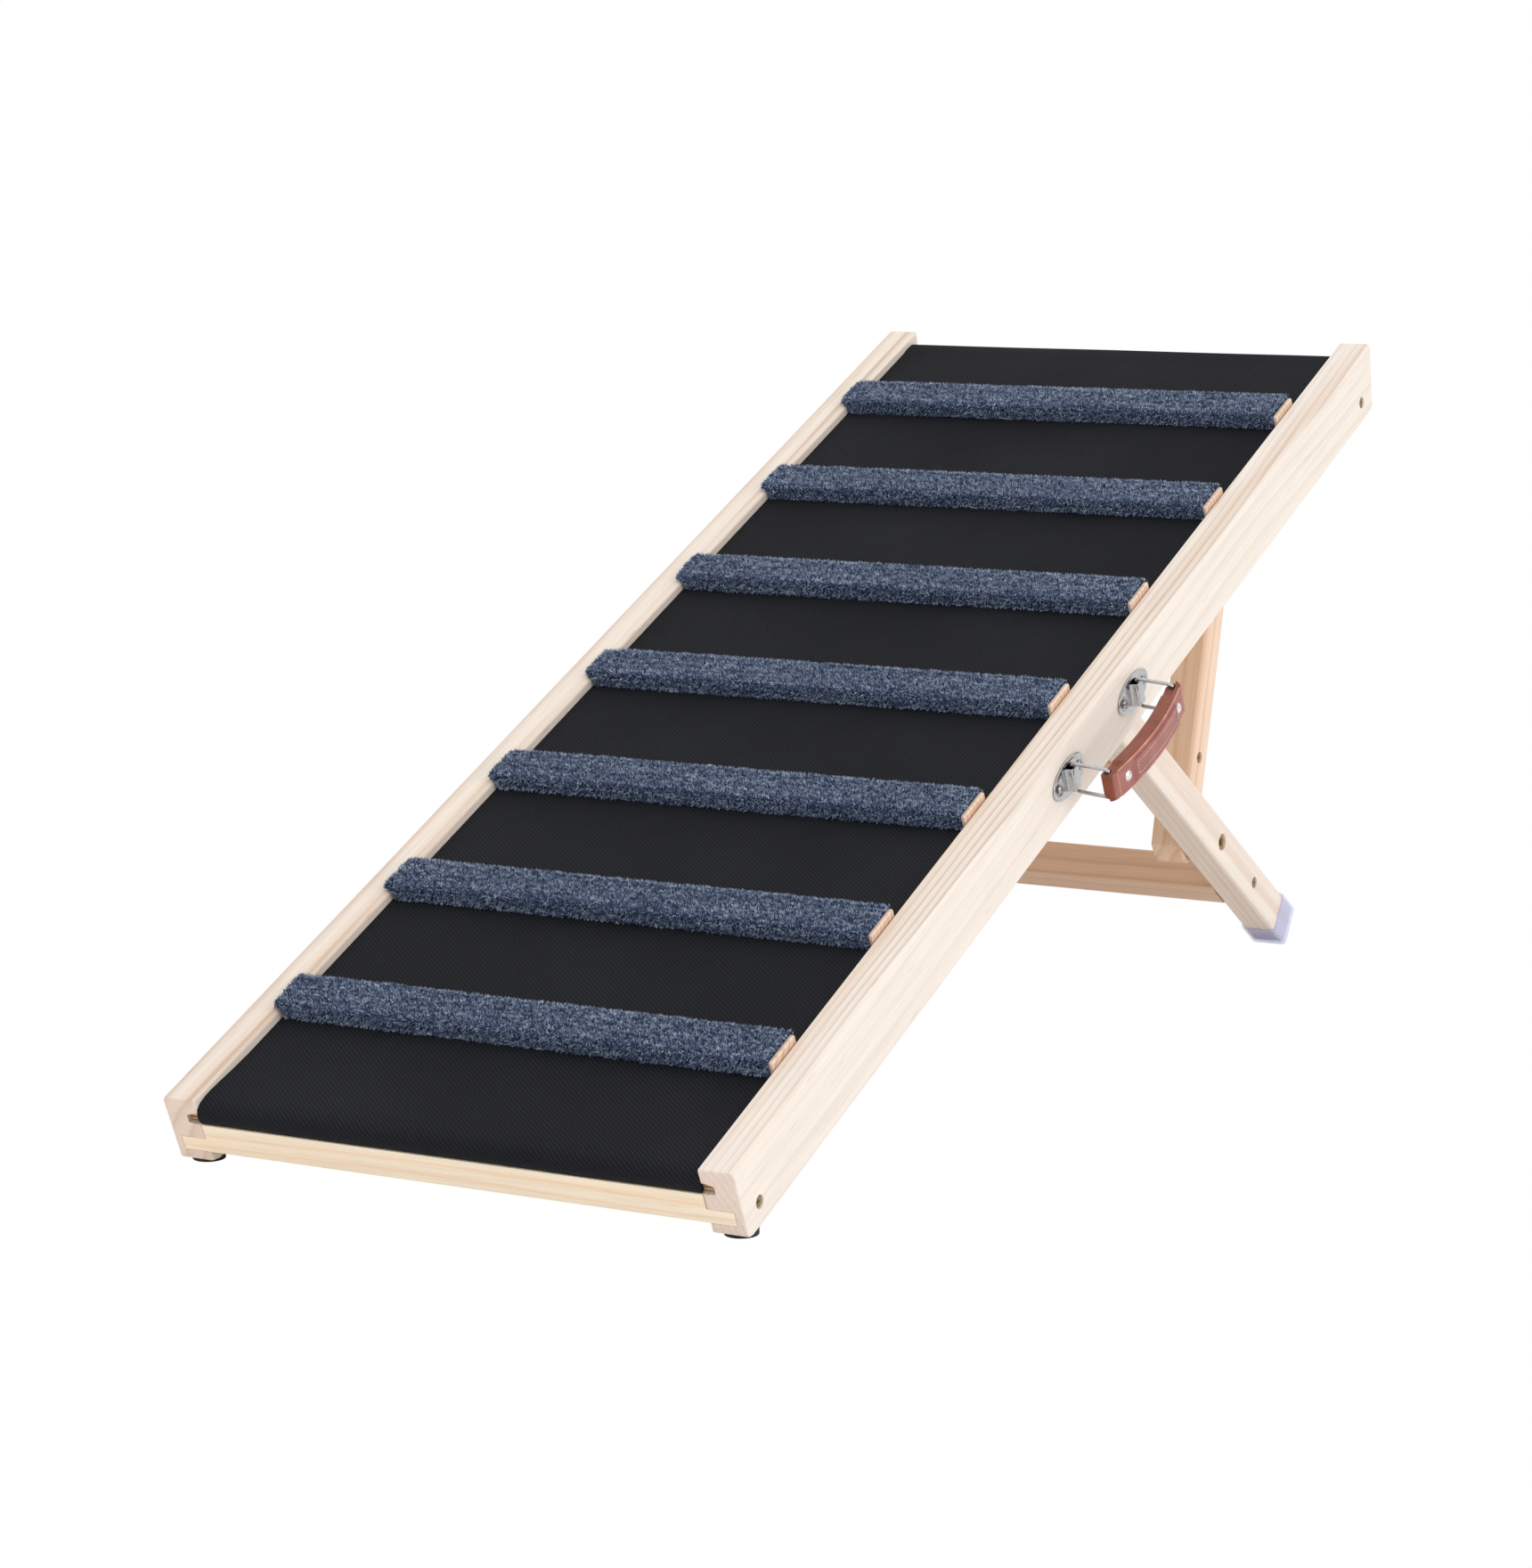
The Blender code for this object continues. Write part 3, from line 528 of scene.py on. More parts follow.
# %% Seven kinds of pine board
# Name, way of the grain, nodes, pith line from the middle of the first node,
# early and late colour from 0 to 255, and what else differs.
# side, where given, sets how much grain the upright faces keep: painted light of the side lamp washing them
# out.
BOARDS = [
    ("rail", "deck", ["rail_right", "prop_rack_left", "prop_rack_right"], (-0.085, 0.0, -0.030),
     (241, 230, 219), (190, 160, 136), {"ring": 0.0046, "side": 0.22}),
    ("rail_left", "deck", ["rail_left"], (0.07, 2.3, -0.030),
     (241, 228, 215), (186, 146, 114), {"ring": 0.0120, "side": 0.4}),
    # The low crossbar has its own brighter colours: painted light, standing in for the front light it
    # catches.
    ("low_bar_painted_lit", "across", ["low_crossbar"], (0.03, 0.7, -0.11),
     (255, 240, 216), (250, 208, 168), {"ring": 0.0085, "streak": (0.97, 0.86, 0.76)}),
    ("bars", "across", ["leg_crossbar", "high_crossbar", "brace_crossbar"], (0.04, 3.1, 0.07),
     (228, 198, 174), (186, 142, 112), {"ring": 0.008}),
    ("slats", "across", [f"cleat_slat_{number}" for number in range(1, 8)], (0.1, 1.4, 0.05),
     (238, 214, 192), (200, 166, 136), {}),
    ("legs", "leg", ["leg_right", "leg_left"], (-0.09, 5.2, 0.035),
     (241, 228, 217), (206, 178, 156), {"side": 0.7}),
    ("braces", "brace", ["brace_arm_right", "brace_arm_left"], (0.05, 7.7, -0.02),
     (244, 216, 192), (226, 184, 150), {"ring": 0.009})]
for board, way, names, pith, early, late, more in BOARDS:
    material = pine(f"pine_{board}", way, names[0], pith, early, late, **more)
    for name in names:
        finish_node(name, material)
print(sum(len(board[2]) for board in BOARDS), "wooden nodes finished")


# %% [markdown]
# ## Plywood
#
# The deck board is hidden by the mat on top, but its underside and its ends in
# the rails' grooves show.  Its faces are one peeled layer of birch, and its
# edges show the layers crossing, light and dark in turn.

# %% Plywood finish
def plywood():
    """Face: slow flames along the slope.  Edge: bands by depth in the board."""
    web = Web("birch_ply", srgb(228, 203, 168), 0.6, Specular_IOR_Level=0.3)
    here = web.node("TexCoord")
    turn, _ = grain_turn("deck")
    grain = web.node("Mapping", {"Vector": here.outputs["Object"], "Rotation": turn}).outputs[0]
    flames = web.calc("FRACT", web.times(web.noise(grain, (26, 2.2, 26), 3), 9))
    flames = web.ramp(flames, [(0, 0), (0.6, 0.25), (0.95, 1)])
    face = web.mix(web.times(flames, 0.4), srgb(230, 206, 172), srgb(200, 165, 122))
    depth = web.node("SeparateXYZ", {0: grain}).outputs[2]
    edge = web.ramp(web.calc("FRACT", web.calc("DIVIDE", depth, 0.0028)),
                    [(0.45, srgb(222, 194, 156)), (0.5, srgb(170, 128, 90)), (0.95, srgb(160, 118, 82))])
    upright = web.calc("ABSOLUTE", web.facing(here.outputs["Normal"], UP))
    web.tint(web.mix(web.ramp(upright, [(0.4, 1), (0.6, 0)]), face, edge))
    web.relief(web.noise(grain, (600, 20, 600), 2), 0.0002, 0.5)
    return web.material


finish_node("deck_board", plywood())
print("deck board finished")


# %% [markdown]
# ## The tread mat
#
# One mat covers the board and rolls over its low end.  It is soft, so the roll
# is fat and a little proud of the board.  The section is drawn once as an outer
# and an inner line and carried across the ramp; tiny waves keep it from looking
# like a plate.  Its ribs follow the flat cloth, so they are drawn from the UV
# map, which runs over the roll without a break.

# %% Mat shape
mat_low, mat_high = extent("tread_mat", DECK)
half = mat_high[0]
top, foot, far = mat_high[2], mat_low[2], mat_high[1]
ROLL = np.array([(0.0008, foot), (-0.0006, -0.0155), (-0.0016, -0.0125), (-0.0013, -0.0093),
                 (0.0006, -0.0064), (0.0042, -0.0045), (0.0095, -0.0036), (0.0170, -0.0034),
                 (0.0280, -0.0039), (0.0420, -0.0048)])
flat_run = spread(np.linspace(0.060, far - 0.022, 150), np.full(150, top))
end_roll = np.array([(far - 0.012, top + 0.0006), (far - 0.005, top + 0.0003), (far - 0.0014, top - 0.0014),
                     (far - 0.0002, top - 0.0045), (far, foot)])


def curve_through(points, gap):
    """A smooth line through points: cubic Hermite with averaged slopes."""
    points = np.asarray(points, float)
    slopes = np.gradient(points, axis=0)
    t = np.linspace(0, 1, 9)[:-1, None, None]
    start, end = points[None, :-1], points[None, 1:]
    bend = ((2 * t**3 - 3 * t**2 + 1) * start + (t**3 - 2 * t**2 + t) * slopes[None, :-1]
            + (-2 * t**3 + 3 * t**2) * end + (t**3 - t**2) * slopes[None, 1:])
    line = joined(bend.transpose(1, 0, 2).reshape(-1, 2), points[-1:])
    return spaced(line, gap)


section = joined(curve_through(ROLL, 0.0012), flat_run, curve_through(end_roll, 0.0012))
heading = unit(np.gradient(section, axis=0))
MAT_THICK = 0.0032
inside = section + spread(heading[:, 1], -heading[:, 0]) * MAT_THICK
inside[:, 0] = np.clip(inside[:, 0], 0.0028, far - 0.0028)

rng = np.random.default_rng(11)
stations = np.linspace(-half, half, 60)
waves = soften(rng.normal(size=(60, len(section))), 60)
waves *= 0.00022 / waves.std()
waves = waves * np.sin(np.pi * np.linspace(0, 1, 60))[:, None] ** 0.3


def across_ramp(line, lift):
    """The line carried from rail to rail, lifted by a field of small waves."""
    return put(spread(stations[:, None], line[:, 0], line[:, 1] + lift), DECK)


run = run_along(section)
mat_uv = spread(stations[:, None], run)

# %% [markdown]
# The cloth of the mat is a fine twill: low ribs slant across it about two
# millimetres apart, nearly black, with a little dust and lint between them.
# Its colour is painted darker in the grooves and paler on the crests: painted
# shade and highlight.

# %% Mat finish and piece
RIB_PITCH, KNOTS_PER_RIB = 0.0023, 2.2


def ribbed_mat():
    """Ribs: a sine of the distance square to a slanting line on the cloth."""
    web = Web("ribbed_mat", (0.011, 0.012, 0.015), 0.85, Specular_IOR_Level=0.18)
    flat = web.node("UVMap", uv_map="flat").outputs[0]

    def wave(distance):
        sine = web.calc("SINE", web.times(distance, 2 * math.pi))
        return web.times_plus(sine, 0.5, 0.5)

    ways = np.array([(0.62, 0.78, 0), (-0.78 * KNOTS_PER_RIB, 0.62 * KNOTS_PER_RIB, 0)]) / RIB_PITCH
    slant, cross = (web.facing(flat, tuple(map(float, way))) for way in ways)
    rib = wave(web.times_plus(web.noise(flat, 60, 2), 0.8, slant))
    height = web.times_plus(wave(cross), 0.25, rib)
    # Painted shade and highlight: the rib height darkens the grooves and lightens the crests.
    tone = web.times_plus(web.noise(flat, 9, 4), 0.5, web.times(height, 0.45))
    colour = web.ramp(tone, [(0.15, (0.0032, 0.0037, 0.0056)), (0.55, (0.0078, 0.0084, 0.0120)),
                             (0.85, (0.0185, 0.0195, 0.0255))])
    lint = web.noise(flat, (900, 620, 1), 1, [(0.77, 0), (0.80, 0.4)])
    web.tint(web.mix(lint, colour, (0.10, 0.105, 0.12)))
    web.relief(height, 0.0006, 0.8)
    return web.material


mat_cloth = ribbed_mat()
tread = thick("mat_cloth", across_ramp(section, waves), across_ramp(inside, 0.0), "ramp", mat_cloth,
              "anti_slip_mat", uv=mat_uv)
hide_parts("tread_mat")
print("mat", round(2 * half, 3), "x", round(float(run[-1]), 3), "m")


# %% [markdown]
# ## Carpet on the cleats
#
# Each cleat is a slat wrapped in carpet: backing folded tight over the wood,
# with a short dense pile of mixed blue and grey yarn.  The backing is a thick
# shell, like a sheet laid over a box, with its left end folded down.  The pile
# is thousands of tiny closed spikes planted square to it, a little ruffled.
# They part along the folds by themselves, because the backing turns there.
# Hair particles would look alike, but they are not a mesh that can be kept.

# %% Yarn and backing finishes
YARN = [(0.0, srgb(36, 46, 68)), (0.28, srgb(70, 85, 114)), (0.55, srgb(122, 140, 170)),
        (0.78, srgb(174, 188, 210)), (1.0, srgb(216, 224, 236))]


def yarn():
    """Each tuft carries its own number, which picks its shade of yarn."""
    web = Web("carpet_yarn", srgb(84, 98, 130), 0.95, Specular_IOR_Level=0.1, Sheen_Weight=0.25)
    number = web.node("Attribute", attribute_name="yarn").outputs["Fac"]
    where = web.where()
    clump = web.noise(where, (240, 380, 380), 2)
    rows = web.noise(where, (16, 420, 420), 1)
    tone = web.times_plus(clump, 1.6, web.times_plus(number, 0.50, -0.86))
    tone = web.times_plus(rows, 0.62, tone)
    web.tint(web.ramp(tone, YARN))
    web.relief(web.noise(where, 2600, 1), 0.0002, 0.6)
    return web.material


def backing():
    web = Web("carpet_backing", srgb(40, 48, 70), 1, Specular_IOR_Level=0.05)
    where = web.where()
    web.tint(web.noise(where, 420, 3, [(0.35, srgb(24, 30, 48)), (0.70, srgb(66, 80, 112))]))
    web.relief(web.noise(where, 900, 2), 0.0006, 0.8)
    return web.material


pile_yarn, carpet_backing = yarn(), backing()
BACKING = 0.0013
TUFTS = 21000


# %% Backing shape
def folded_over(half_wide, top_z, base_z, right, left, corner, rows):
    """Rows across the slat, from the right end, round the left end, to a pole.

    Each row is the same doorway outline: up, over and down with round corners.
    At the left end the rows bow in by a quarter circle and shrink to the foot.
    """
    door = doorway(half_wide, base_z - 0.05, top_z, corner)
    door = spaced(joined([(-half_wide, base_z)], door, [(half_wide, base_z)]), 0.0016)
    x = np.linspace(right, left + corner, rows)
    t = np.linspace(0, np.pi / 2, 6)[1:]
    inset = 1 - corner * (1 - np.cos(t)) / half_wide
    shrink = joined(np.ones(rows), inset, inset[-1] * np.linspace(1, 0, 10)[1:])
    x = joined(x, left + corner - corner * np.sin(t), np.full(9, left))
    shrink = shrink[:, None]
    return spread(x[:, None], door[:, 0] * shrink, base_z + (door[:, 1] - base_z) * shrink)


def facing(grid):
    """Unit directions square to a grid, from the cross product of its steps."""
    square = np.cross(np.gradient(grid, axis=1), np.gradient(grid, axis=0))
    return square / np.maximum(np.linalg.norm(square, axis=-1, keepdims=True), 1e-12)


# %% [markdown]
# A tuft is a spike with a three-cornered foot: its points are the foot's three
# corners and a tip, for all tufts in one array.  Tufts are drawn at random over
# the backing by area, so the folded end is as full as the top.

# %% Pile
SPIKE = np.array([(0, 1, 3), (1, 2, 3), (2, 0, 3), (0, 2, 1)])
RAIL_LIP = extent("rail_left", DECK)[1][0] + 0.0002
ABOVE_RAIL, ABOVE_MAT = 0.0003, -0.0053


def pile(name, grid, seed):
    """Spikes: foot points round a spot on the backing, tip along its facing."""
    rng = np.random.default_rng(seed)
    a, b, c, d = grid[:-1, :-1], grid[:-1, 1:], grid[1:, 1:], grid[1:, :-1]
    area = sum(np.linalg.norm(np.cross(b - corner, d - corner), axis=-1) for corner in (a, c)).ravel()
    cell = rng.choice(len(area), TUFTS, p=area / area.sum())
    s, t = rng.random((2, TUFTS, 1))
    a, b, c, d = (corner.reshape(-1, 3)[cell] for corner in (a, b, c, d))
    spot = a * (1 - s) * (1 - t) + b * s * (1 - t) + c * s * t + d * (1 - s) * t
    square = facing(grid)
    square = (square[:-1, :-1] + square[1:, 1:]).reshape(-1, 3)[cell]
    square = unit(square)
    lean = unit(square + rng.normal(0, 0.30, (TUFTS, 3)) + np.array([0.10, -0.08, 0.0]))
    flat = unit(np.cross(lean, rng.normal(size=(TUFTS, 3))))
    other = np.cross(lean, flat)
    tall = rng.uniform(0.0014, 0.0024, (TUFTS, 1))
    wide = rng.uniform(0.00038, 0.00068, (TUFTS, 1))
    corners = [spot - 0.0004 * square + wide * (math.cos(q) * flat + math.sin(q) * other)
               for q in circle(3)[:3]]
    points = np.stack(corners + [spot + tall * lean], 1)
    points[..., 2] = np.maximum(points[..., 2], np.where(points[..., 0] < RAIL_LIP, ABOVE_RAIL, ABOVE_MAT))
    points = put(points, DECK).reshape(-1, 3)
    faces = (4 * np.arange(TUFTS)[:, None, None] + SPIKE).reshape(-1)
    mesh = bpy.data.meshes.new(name)
    mesh.vertices.add(len(points))
    mesh.vertices.foreach_set("co", points.astype(np.float32).ravel())
    mesh.loops.add(len(faces))
    mesh.loops.foreach_set("vertex_index", faces.astype(np.int32))
    mesh.polygons.add(len(faces) // 3)
    mesh.polygons.foreach_set("loop_start", np.arange(0, len(faces), 3, dtype=np.int32))
    mesh.update(calc_edges=True)
    shades = np.repeat(rng.random(TUFTS), 4).astype(np.float32)
    mesh.attributes.new("yarn", "FLOAT", "POINT").data.foreach_set("value", shades)
    return add_piece(name, mesh, "ramp", pile_yarn)


# %% Seven cleats
ROWS, GAP, OVERHANG = 140, 0.0003, 0.0060
for number in range(1, 8):
    right = extent(f"cleat_carpet_{number}", DECK)[1][0] + 0.0012
    low, high = extent(f"cleat_slat_{number}", DECK)
    middle = (low[1] + high[1]) / 2
    snug = (high[1] - low[1]) / 2 + GAP
    inner = folded_over(snug, high[2] + GAP, low[2], right, low[0] - GAP, 0.0006, ROWS)
    outer = folded_over(snug + BACKING, high[2] + GAP + BACKING, low[2], right, low[0] - GAP - BACKING,
                        0.0024, ROWS)
    had, wanted = (np.linspace(0, 1, grid.shape[1]) for grid in (inner, outer))
    inner = np.array([[np.interp(wanted, had, line) for line in row.T] for row in inner]).transpose(0, 2, 1)
    rng = np.random.default_rng(number)
    rough = soften(rng.normal(size=outer.shape[:2]), 2)
    rough[:, 0] = rough[:, -1] = rough[-1] = 0
    outer = outer - facing(outer) * (0.00016 / rough.std() * rough)[..., None]
    for grid in (outer, inner):
        spill = smooth_step(grid[..., 2], 0.0004, 0.0019) * smooth_step(-grid[..., 0], 0.160, 0.1735)
        grid[..., 0] -= OVERHANG * spill
        grid[..., 1] += middle
    centre = outer.reshape(-1, 3).mean(0)
    if ((outer - centre) * facing(outer)).sum() < 0:
        outer, inner = outer[:, ::-1], inner[:, ::-1]
    cover = thick(f"carpet_backing_{number}", put(outer, DECK), put(inner, DECK), "ramp", carpet_backing,
                  "carpet")
    tufts = pile(f"carpet_pile_{number}", outer, 100 + number)
    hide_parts(f"cleat_carpet_{number}")
print("7 cleats with", 7 * TUFTS, "tufts")


# %% [markdown]
# ## Feet and caps
#
# The low end stands on two black rubber feet: flat discs below, cut on top to
# the rail they are fixed to, with a softly broken edge.  The legs stand in
# clear push-on caps.  A cap is a thin cup, so it is two grids: the outside from
# the middle of the floor up to the lip, and the inside back down again.

# %% Rubber feet
def rubber():
    web = Web("foot_rubber", (0.012, 0.012, 0.013), 0.6, Specular_IOR_Level=0.4)
    where = web.where()
    web.tint(web.noise(where, 300, 3, [(0.3, 0.008), (0.8, 0.022)]))
    web.relief(web.noise(where, 1400, 2), 0.0003, 0.4)
    return web.material


black_rubber = rubber()
for word in ("left", "right"):
    low, high = box(f"foot_pad_{word}")
    centre, radius = (low + high) / 2, (high[0] - low[0]) / 2
    ease = 0.0008
    r = joined(np.linspace(0, radius - ease, 6), radius - ease + ease * np.sin(np.linspace(0.3, 1.57, 5)),
               np.full(6, radius), np.linspace(radius, 0, 10)[1:])
    share = joined(np.zeros(11), np.linspace(0, 1, 7)[1:], np.ones(9))
    floor_z = joined(np.zeros(6), ease * (1 - np.cos(np.linspace(0.3, 1.57, 5))), np.full(15, ease))
    angle = circle(48)
    x, y = r[:, None] * np.cos(angle), r[:, None] * np.sin(angle)
    underside = high[2] - (radius - np.maximum(y, -0.0045)) * slope[2] / slope[1]
    underside = np.maximum(underside, 0.0027)
    z = floor_z[:, None] * (1 - share[:, None]) + underside * share[:, None]
    pad = solid(f"rubber_foot_{word}", spread(centre[0] + x, centre[1] + y, z), "ramp", black_rubber,
                "foot_rubber")
    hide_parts(f"foot_pad_{word}")


# %% Clear caps
def clear_vinyl():
    """Clear plastic with a faint violet tint and soft moulding ripples."""
    web = Web("clear_vinyl", (0.66, 0.70, 1), 0.12, Alpha=0.38, Specular_IOR_Level=0.6)
    where = web.where()
    web.relief(web.noise(where, 160, 2), 0.0006, 0.35)
    return web.material


vinyl = clear_vinyl()


def cup(centre_x, half_x, half_z, lip_y, floor_y, corner):
    """Rounded-rectangle rings: out over the floor, round the heel, up the wall."""
    square = np.array([(1, -1), (1, 1), (-1, 1), (-1, -1)]) * (half_x, half_z)
    outline = round_corners(square, corner)
    outline = joined(outline, outline[:1])
    heel = 0.0016
    t = np.linspace(0, np.pi / 2, 6)
    size = joined(np.linspace(0.0, 1, 8)[:-1] * (half_x - heel), half_x - heel + heel * np.sin(t),
                  np.full(14, half_x))
    y = joined(np.full(7, floor_y), floor_y - heel * (1 - np.cos(t)),
               np.linspace(floor_y - heel, lip_y, 15)[1:])
    size = size[:, None]
    z = outline[:, 1] * (1 + (size - half_x) / half_z)
    z[:7] = outline[:, 1] * (size[:7] / half_x)
    return spread(centre_x + outline[:, 0] * size / half_x, y[:, None], z)


for word in ("left", "right"):
    low, high = extent(f"leg_cap_{word}", LEG)
    centre, half_size = (low + high) / 2, (high - low) / 2
    wall, base = 0.0013, 0.0017
    outside = cup(centre[0], half_size[0], half_size[2], low[1], high[1], 0.0031)
    hollow = cup(centre[0], half_size[0] - wall, half_size[2] - wall, low[1], high[1] - base, 0.0018)
    cap = thick(f"clear_cap_{word}", put(outside, LEG), put(hollow, LEG), "leg_frame", vinyl, "clear_vinyl",
                wrapped=True)
    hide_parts(f"leg_cap_{word}")
print("2 feet and 2 clear caps")


# %% [markdown]
# ## Screws, bolts and the dowel
#
# A screw is turned round its axis: a face, a rim, a cone or a cylinder, a shank
# and a tip.  The drive recess isn't turned, so the face's points sink where a
# cross or a hexagon says so.  One function makes them all, from the CAD node
# that each replaces, so they sit exactly in the wood's drilled holes.

# %% Metals
def metal(name, colour, roughness, grime=0.25, scratch=0.35):
    """Metal whose brightness is broken by grime, with fine scratches."""
    web = Web(name, colour, roughness, Metallic=1)
    where = web.where()
    dull = web.noise(where, 420, 4, [(0.35, 0), (0.75, grime)])
    web.tint(web.mix(dull, colour, shade(colour, 0.35)))
    lines = web.noise(where, (300, 2600, 2600), 2)
    web.relief(lines, 0.00005, scratch)
    return web.material


zinc = metal("zinc", (0.44, 0.35, 0.22), 0.36, 0.5)
steel = metal("steel", (0.46, 0.45, 0.42), 0.3, 0.5)
brass = metal("brass", (0.52, 0.40, 0.20), 0.36, 0.45)
chrome = metal("chrome", (0.56, 0.56, 0.57), 0.15, 0.35, 0.15)
nickel = metal("nickel", (0.86, 0.85, 0.84), 0.22, 0.1, 0.2)


# %% Fasteners
def cross_slot(u, v):
    """1 inside a cross as long as 0.62 and as thick as 0.2 of the radius."""
    arm = np.maximum(smooth_step(-np.abs(u), -0.62, -0.52) * smooth_step(-np.abs(v), -0.16, -0.08),
                     smooth_step(-np.abs(v), -0.62, -0.52) * smooth_step(-np.abs(u), -0.16, -0.08))
    return np.maximum(arm, smooth_step(-np.hypot(u, v), -0.30, -0.16))


def hex_socket(u, v):
    """1 inside a hexagon: the largest of three slanting distances."""
    sides = [np.abs(u * math.cos(q) + v * math.sin(q)) for q in (0, math.pi / 3, 2 * math.pi / 3)]
    return smooth_step(-np.max(sides, axis=0), -0.47, -0.43)


# Each head: shank's share of the radius, how far the face's rim falls back, how
# deep its middle lies, and the (distance, share of the radius) of its side.
HEADS = {"countersunk": (0.5, 0.0, 0.0001, [(0.0003, 1.0), (0.0008, 0.97), (0.0030, 0.5)]),
         "pan": (0.5, 0.0018, 0.0, [(0.0014, 0.99), (0.0018, 1.0), (0.00185, 0.5)]),
         "bolt": (0.58, 0.0002, 0.0001, [(0.0006, 1.0), (0.0042, 1.0), (0.0045, 0.97), (0.0046, 0.58)])}
FACE = 16


def fastener(cad_node, body, head_side, kind, drive, material, slot, deep):
    """Rings from the face's middle to the tip, on the CAD node's own axis."""
    low, high = box(cad_node)
    radius = (high[2] - low[2]) / 2
    length = high[0] - low[0]
    face_x = high[0] if head_side > 0 else low[0]
    shank, dome, sunk, rim = HEADS[kind]
    face_r = np.linspace(0, 0.93 * radius, FACE)
    face_d = dome * (face_r / radius) ** 2 + sunk
    tail = [(length - 0.003, shank * radius), (length, 0.0002), (length, 0.0)]
    distance = joined(face_d, [d for d, _ in rim + tail])
    radii = joined(face_r, [s * radius for _, s in rim], [s for _, s in tail])
    rings = ring_round(radii, distance, 60)
    u, v = rings[..., 1] / radius, rings[..., 2] / radius
    rings[:FACE, :, 0] += (drive(u, v) * deep)[:FACE]
    centre = (low + high) / 2
    points = spread(face_x - head_side * rings[..., 0], centre[1] + rings[..., 1], centre[2] + rings[..., 2])
    piece = solid(cad_node + "_detail", points, body, material, slot, sharp=40.0)
    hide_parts(cad_node)


for word, side_sign in (("left", -1), ("right", 1)):
    for screw, body in (("rail_screw_low", "ramp"), ("rail_screw_high", "ramp"), ("leg_screw", "leg_frame"),
                        ("brace_screw", "brace_frame")):
        fastener(f"{screw}_{word}", body, side_sign, "countersunk", cross_slot, zinc, "zinc_steel", 0.0014)
    fastener(f"leg_bolt_{word}", "ramp", -side_sign, "bolt", hex_socket, zinc, "zinc_steel", 0.0028)
    fastener(f"brace_bolt_{word}", "leg_frame", side_sign, "bolt", hex_socket, brass, "brass", 0.0026)
for word in ("low", "high"):
    for number in (1, 2):
        fastener(f"plate_screw_{word}_{number}", "ramp", 1, "pan", cross_slot, steel, "zinc_steel", 0.0012)

beech = pine("beech", "across", "prop_dowel", (0.03, 9.0, 0.06), (222, 180, 138), (190, 140, 98),
             ring=0.0045, depth=0.4)
rod_x = np.array([0, 0, 0.0003, 0.0010, 0.0020])
reach = (dowel_high[0] - dowel_low[0]) / 2
rod_r = (dowel_high[2] - dowel_low[2]) / 2
profile_r = np.array([0, rod_r - 0.0010, rod_r - 0.0004, rod_r, rod_r])
ends = joined(-reach + rod_x, np.linspace(-0.14, 0.14, 12), (reach - rod_x)[::-1])
rod = ring_round(joined(profile_r, np.full(12, rod_r), profile_r[::-1]), ends, 40)
dowel = solid("dowel_rod", rod + (dowel_low + dowel_high) / 2, "brace_frame", beech, "beech")
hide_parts("prop_dowel")
print("16 fasteners and the dowel")


# %% [markdown]
# ## The handle's plates and bails
#
# Each plate is a pressed oval: a rolled rim, a low dome, and a dish round each
# screw.  A strap stands up across it and holds the wire.  The wire is a closed
# rectangle, so it is a circle carried along a rectangle with round corners.

# %% Plates and straps
PLATE_Z = BAIL_SPOT[2]
RAIL_FACE = extent("rail_right", DECK)[1][0]
hinge_y = {"low": BAIL_SPOT[1],
           "high": float((pivot("bail_high_swing") - DECK[0]) @ DECK[1][1])}


def oval_plate(middle_y, half_long, half_tall):
    """Rings of ellipses: flat back, rolled rim, domed face sunk at the screws."""
    share = joined([0.0, 0.5, 0.93], 0.96 + 0.04 * np.sin(np.linspace(0, np.pi, 7)),
                   np.linspace(0.955, 0.0, 22))
    angle = circle(96)
    y, z = share[:, None] * half_long * np.cos(angle), share[:, None] * half_tall * np.sin(angle)
    rim = 0.0011 * (1 - np.cos(np.linspace(0, np.pi, 7))) / 2
    face = 0.0011 + 0.0005 * (1 - share[10:] ** 2) - 0.0003 * smooth_step(share[10:], 0.80, 0.90) * (
        1 - smooth_step(share[10:], 0.90, 0.955))
    height = joined(np.zeros(3), rim, face)[:, None] + 0 * angle
    for spot in (-0.0158, 0.0158):
        away = np.hypot(y - spot, z)
        height[10:] -= (0.00085 * (1 - smooth_step(away, 0.0034, 0.0054)))[10:]
    return put(spread(RAIL_FACE + 0.0003 + height, middle_y + y, PLATE_Z + z), DECK)


def strap(middle_y):
    """A doorway outline with a thin wall, carried along the wire's line."""
    outline = []
    for half_wide, crown, corner in ((0.0047, 0.0072, 0.0016), (0.0038, 0.0063, 0.0009)):
        door = doorway(half_wide, -0.02, crown, corner)
        foot = [(-half_wide - 0.0012, 0.0012), (-half_wide, 0.0026)]
        outline.append(joined(foot, door, [(-p[0], p[1]) for p in foot[::-1]]))
    z = np.array([-0.0082, -0.0080, -0.0076, 0.0, 0.0076, 0.0080, 0.0082])
    ease = np.array([0.3, 0.08, 0.0, 0.0, 0.0, 0.08, 0.3])[:, None, None]
    middle = (outline[0] + outline[1]) / 2
    grids = []
    for line in outline:
        flat = line + (middle - line) * ease
        grid = spread(RAIL_FACE + flat[..., 1], middle_y + flat[..., 0], PLATE_Z + z[:, None])
        grids.append(put(grid, DECK))
    return grids


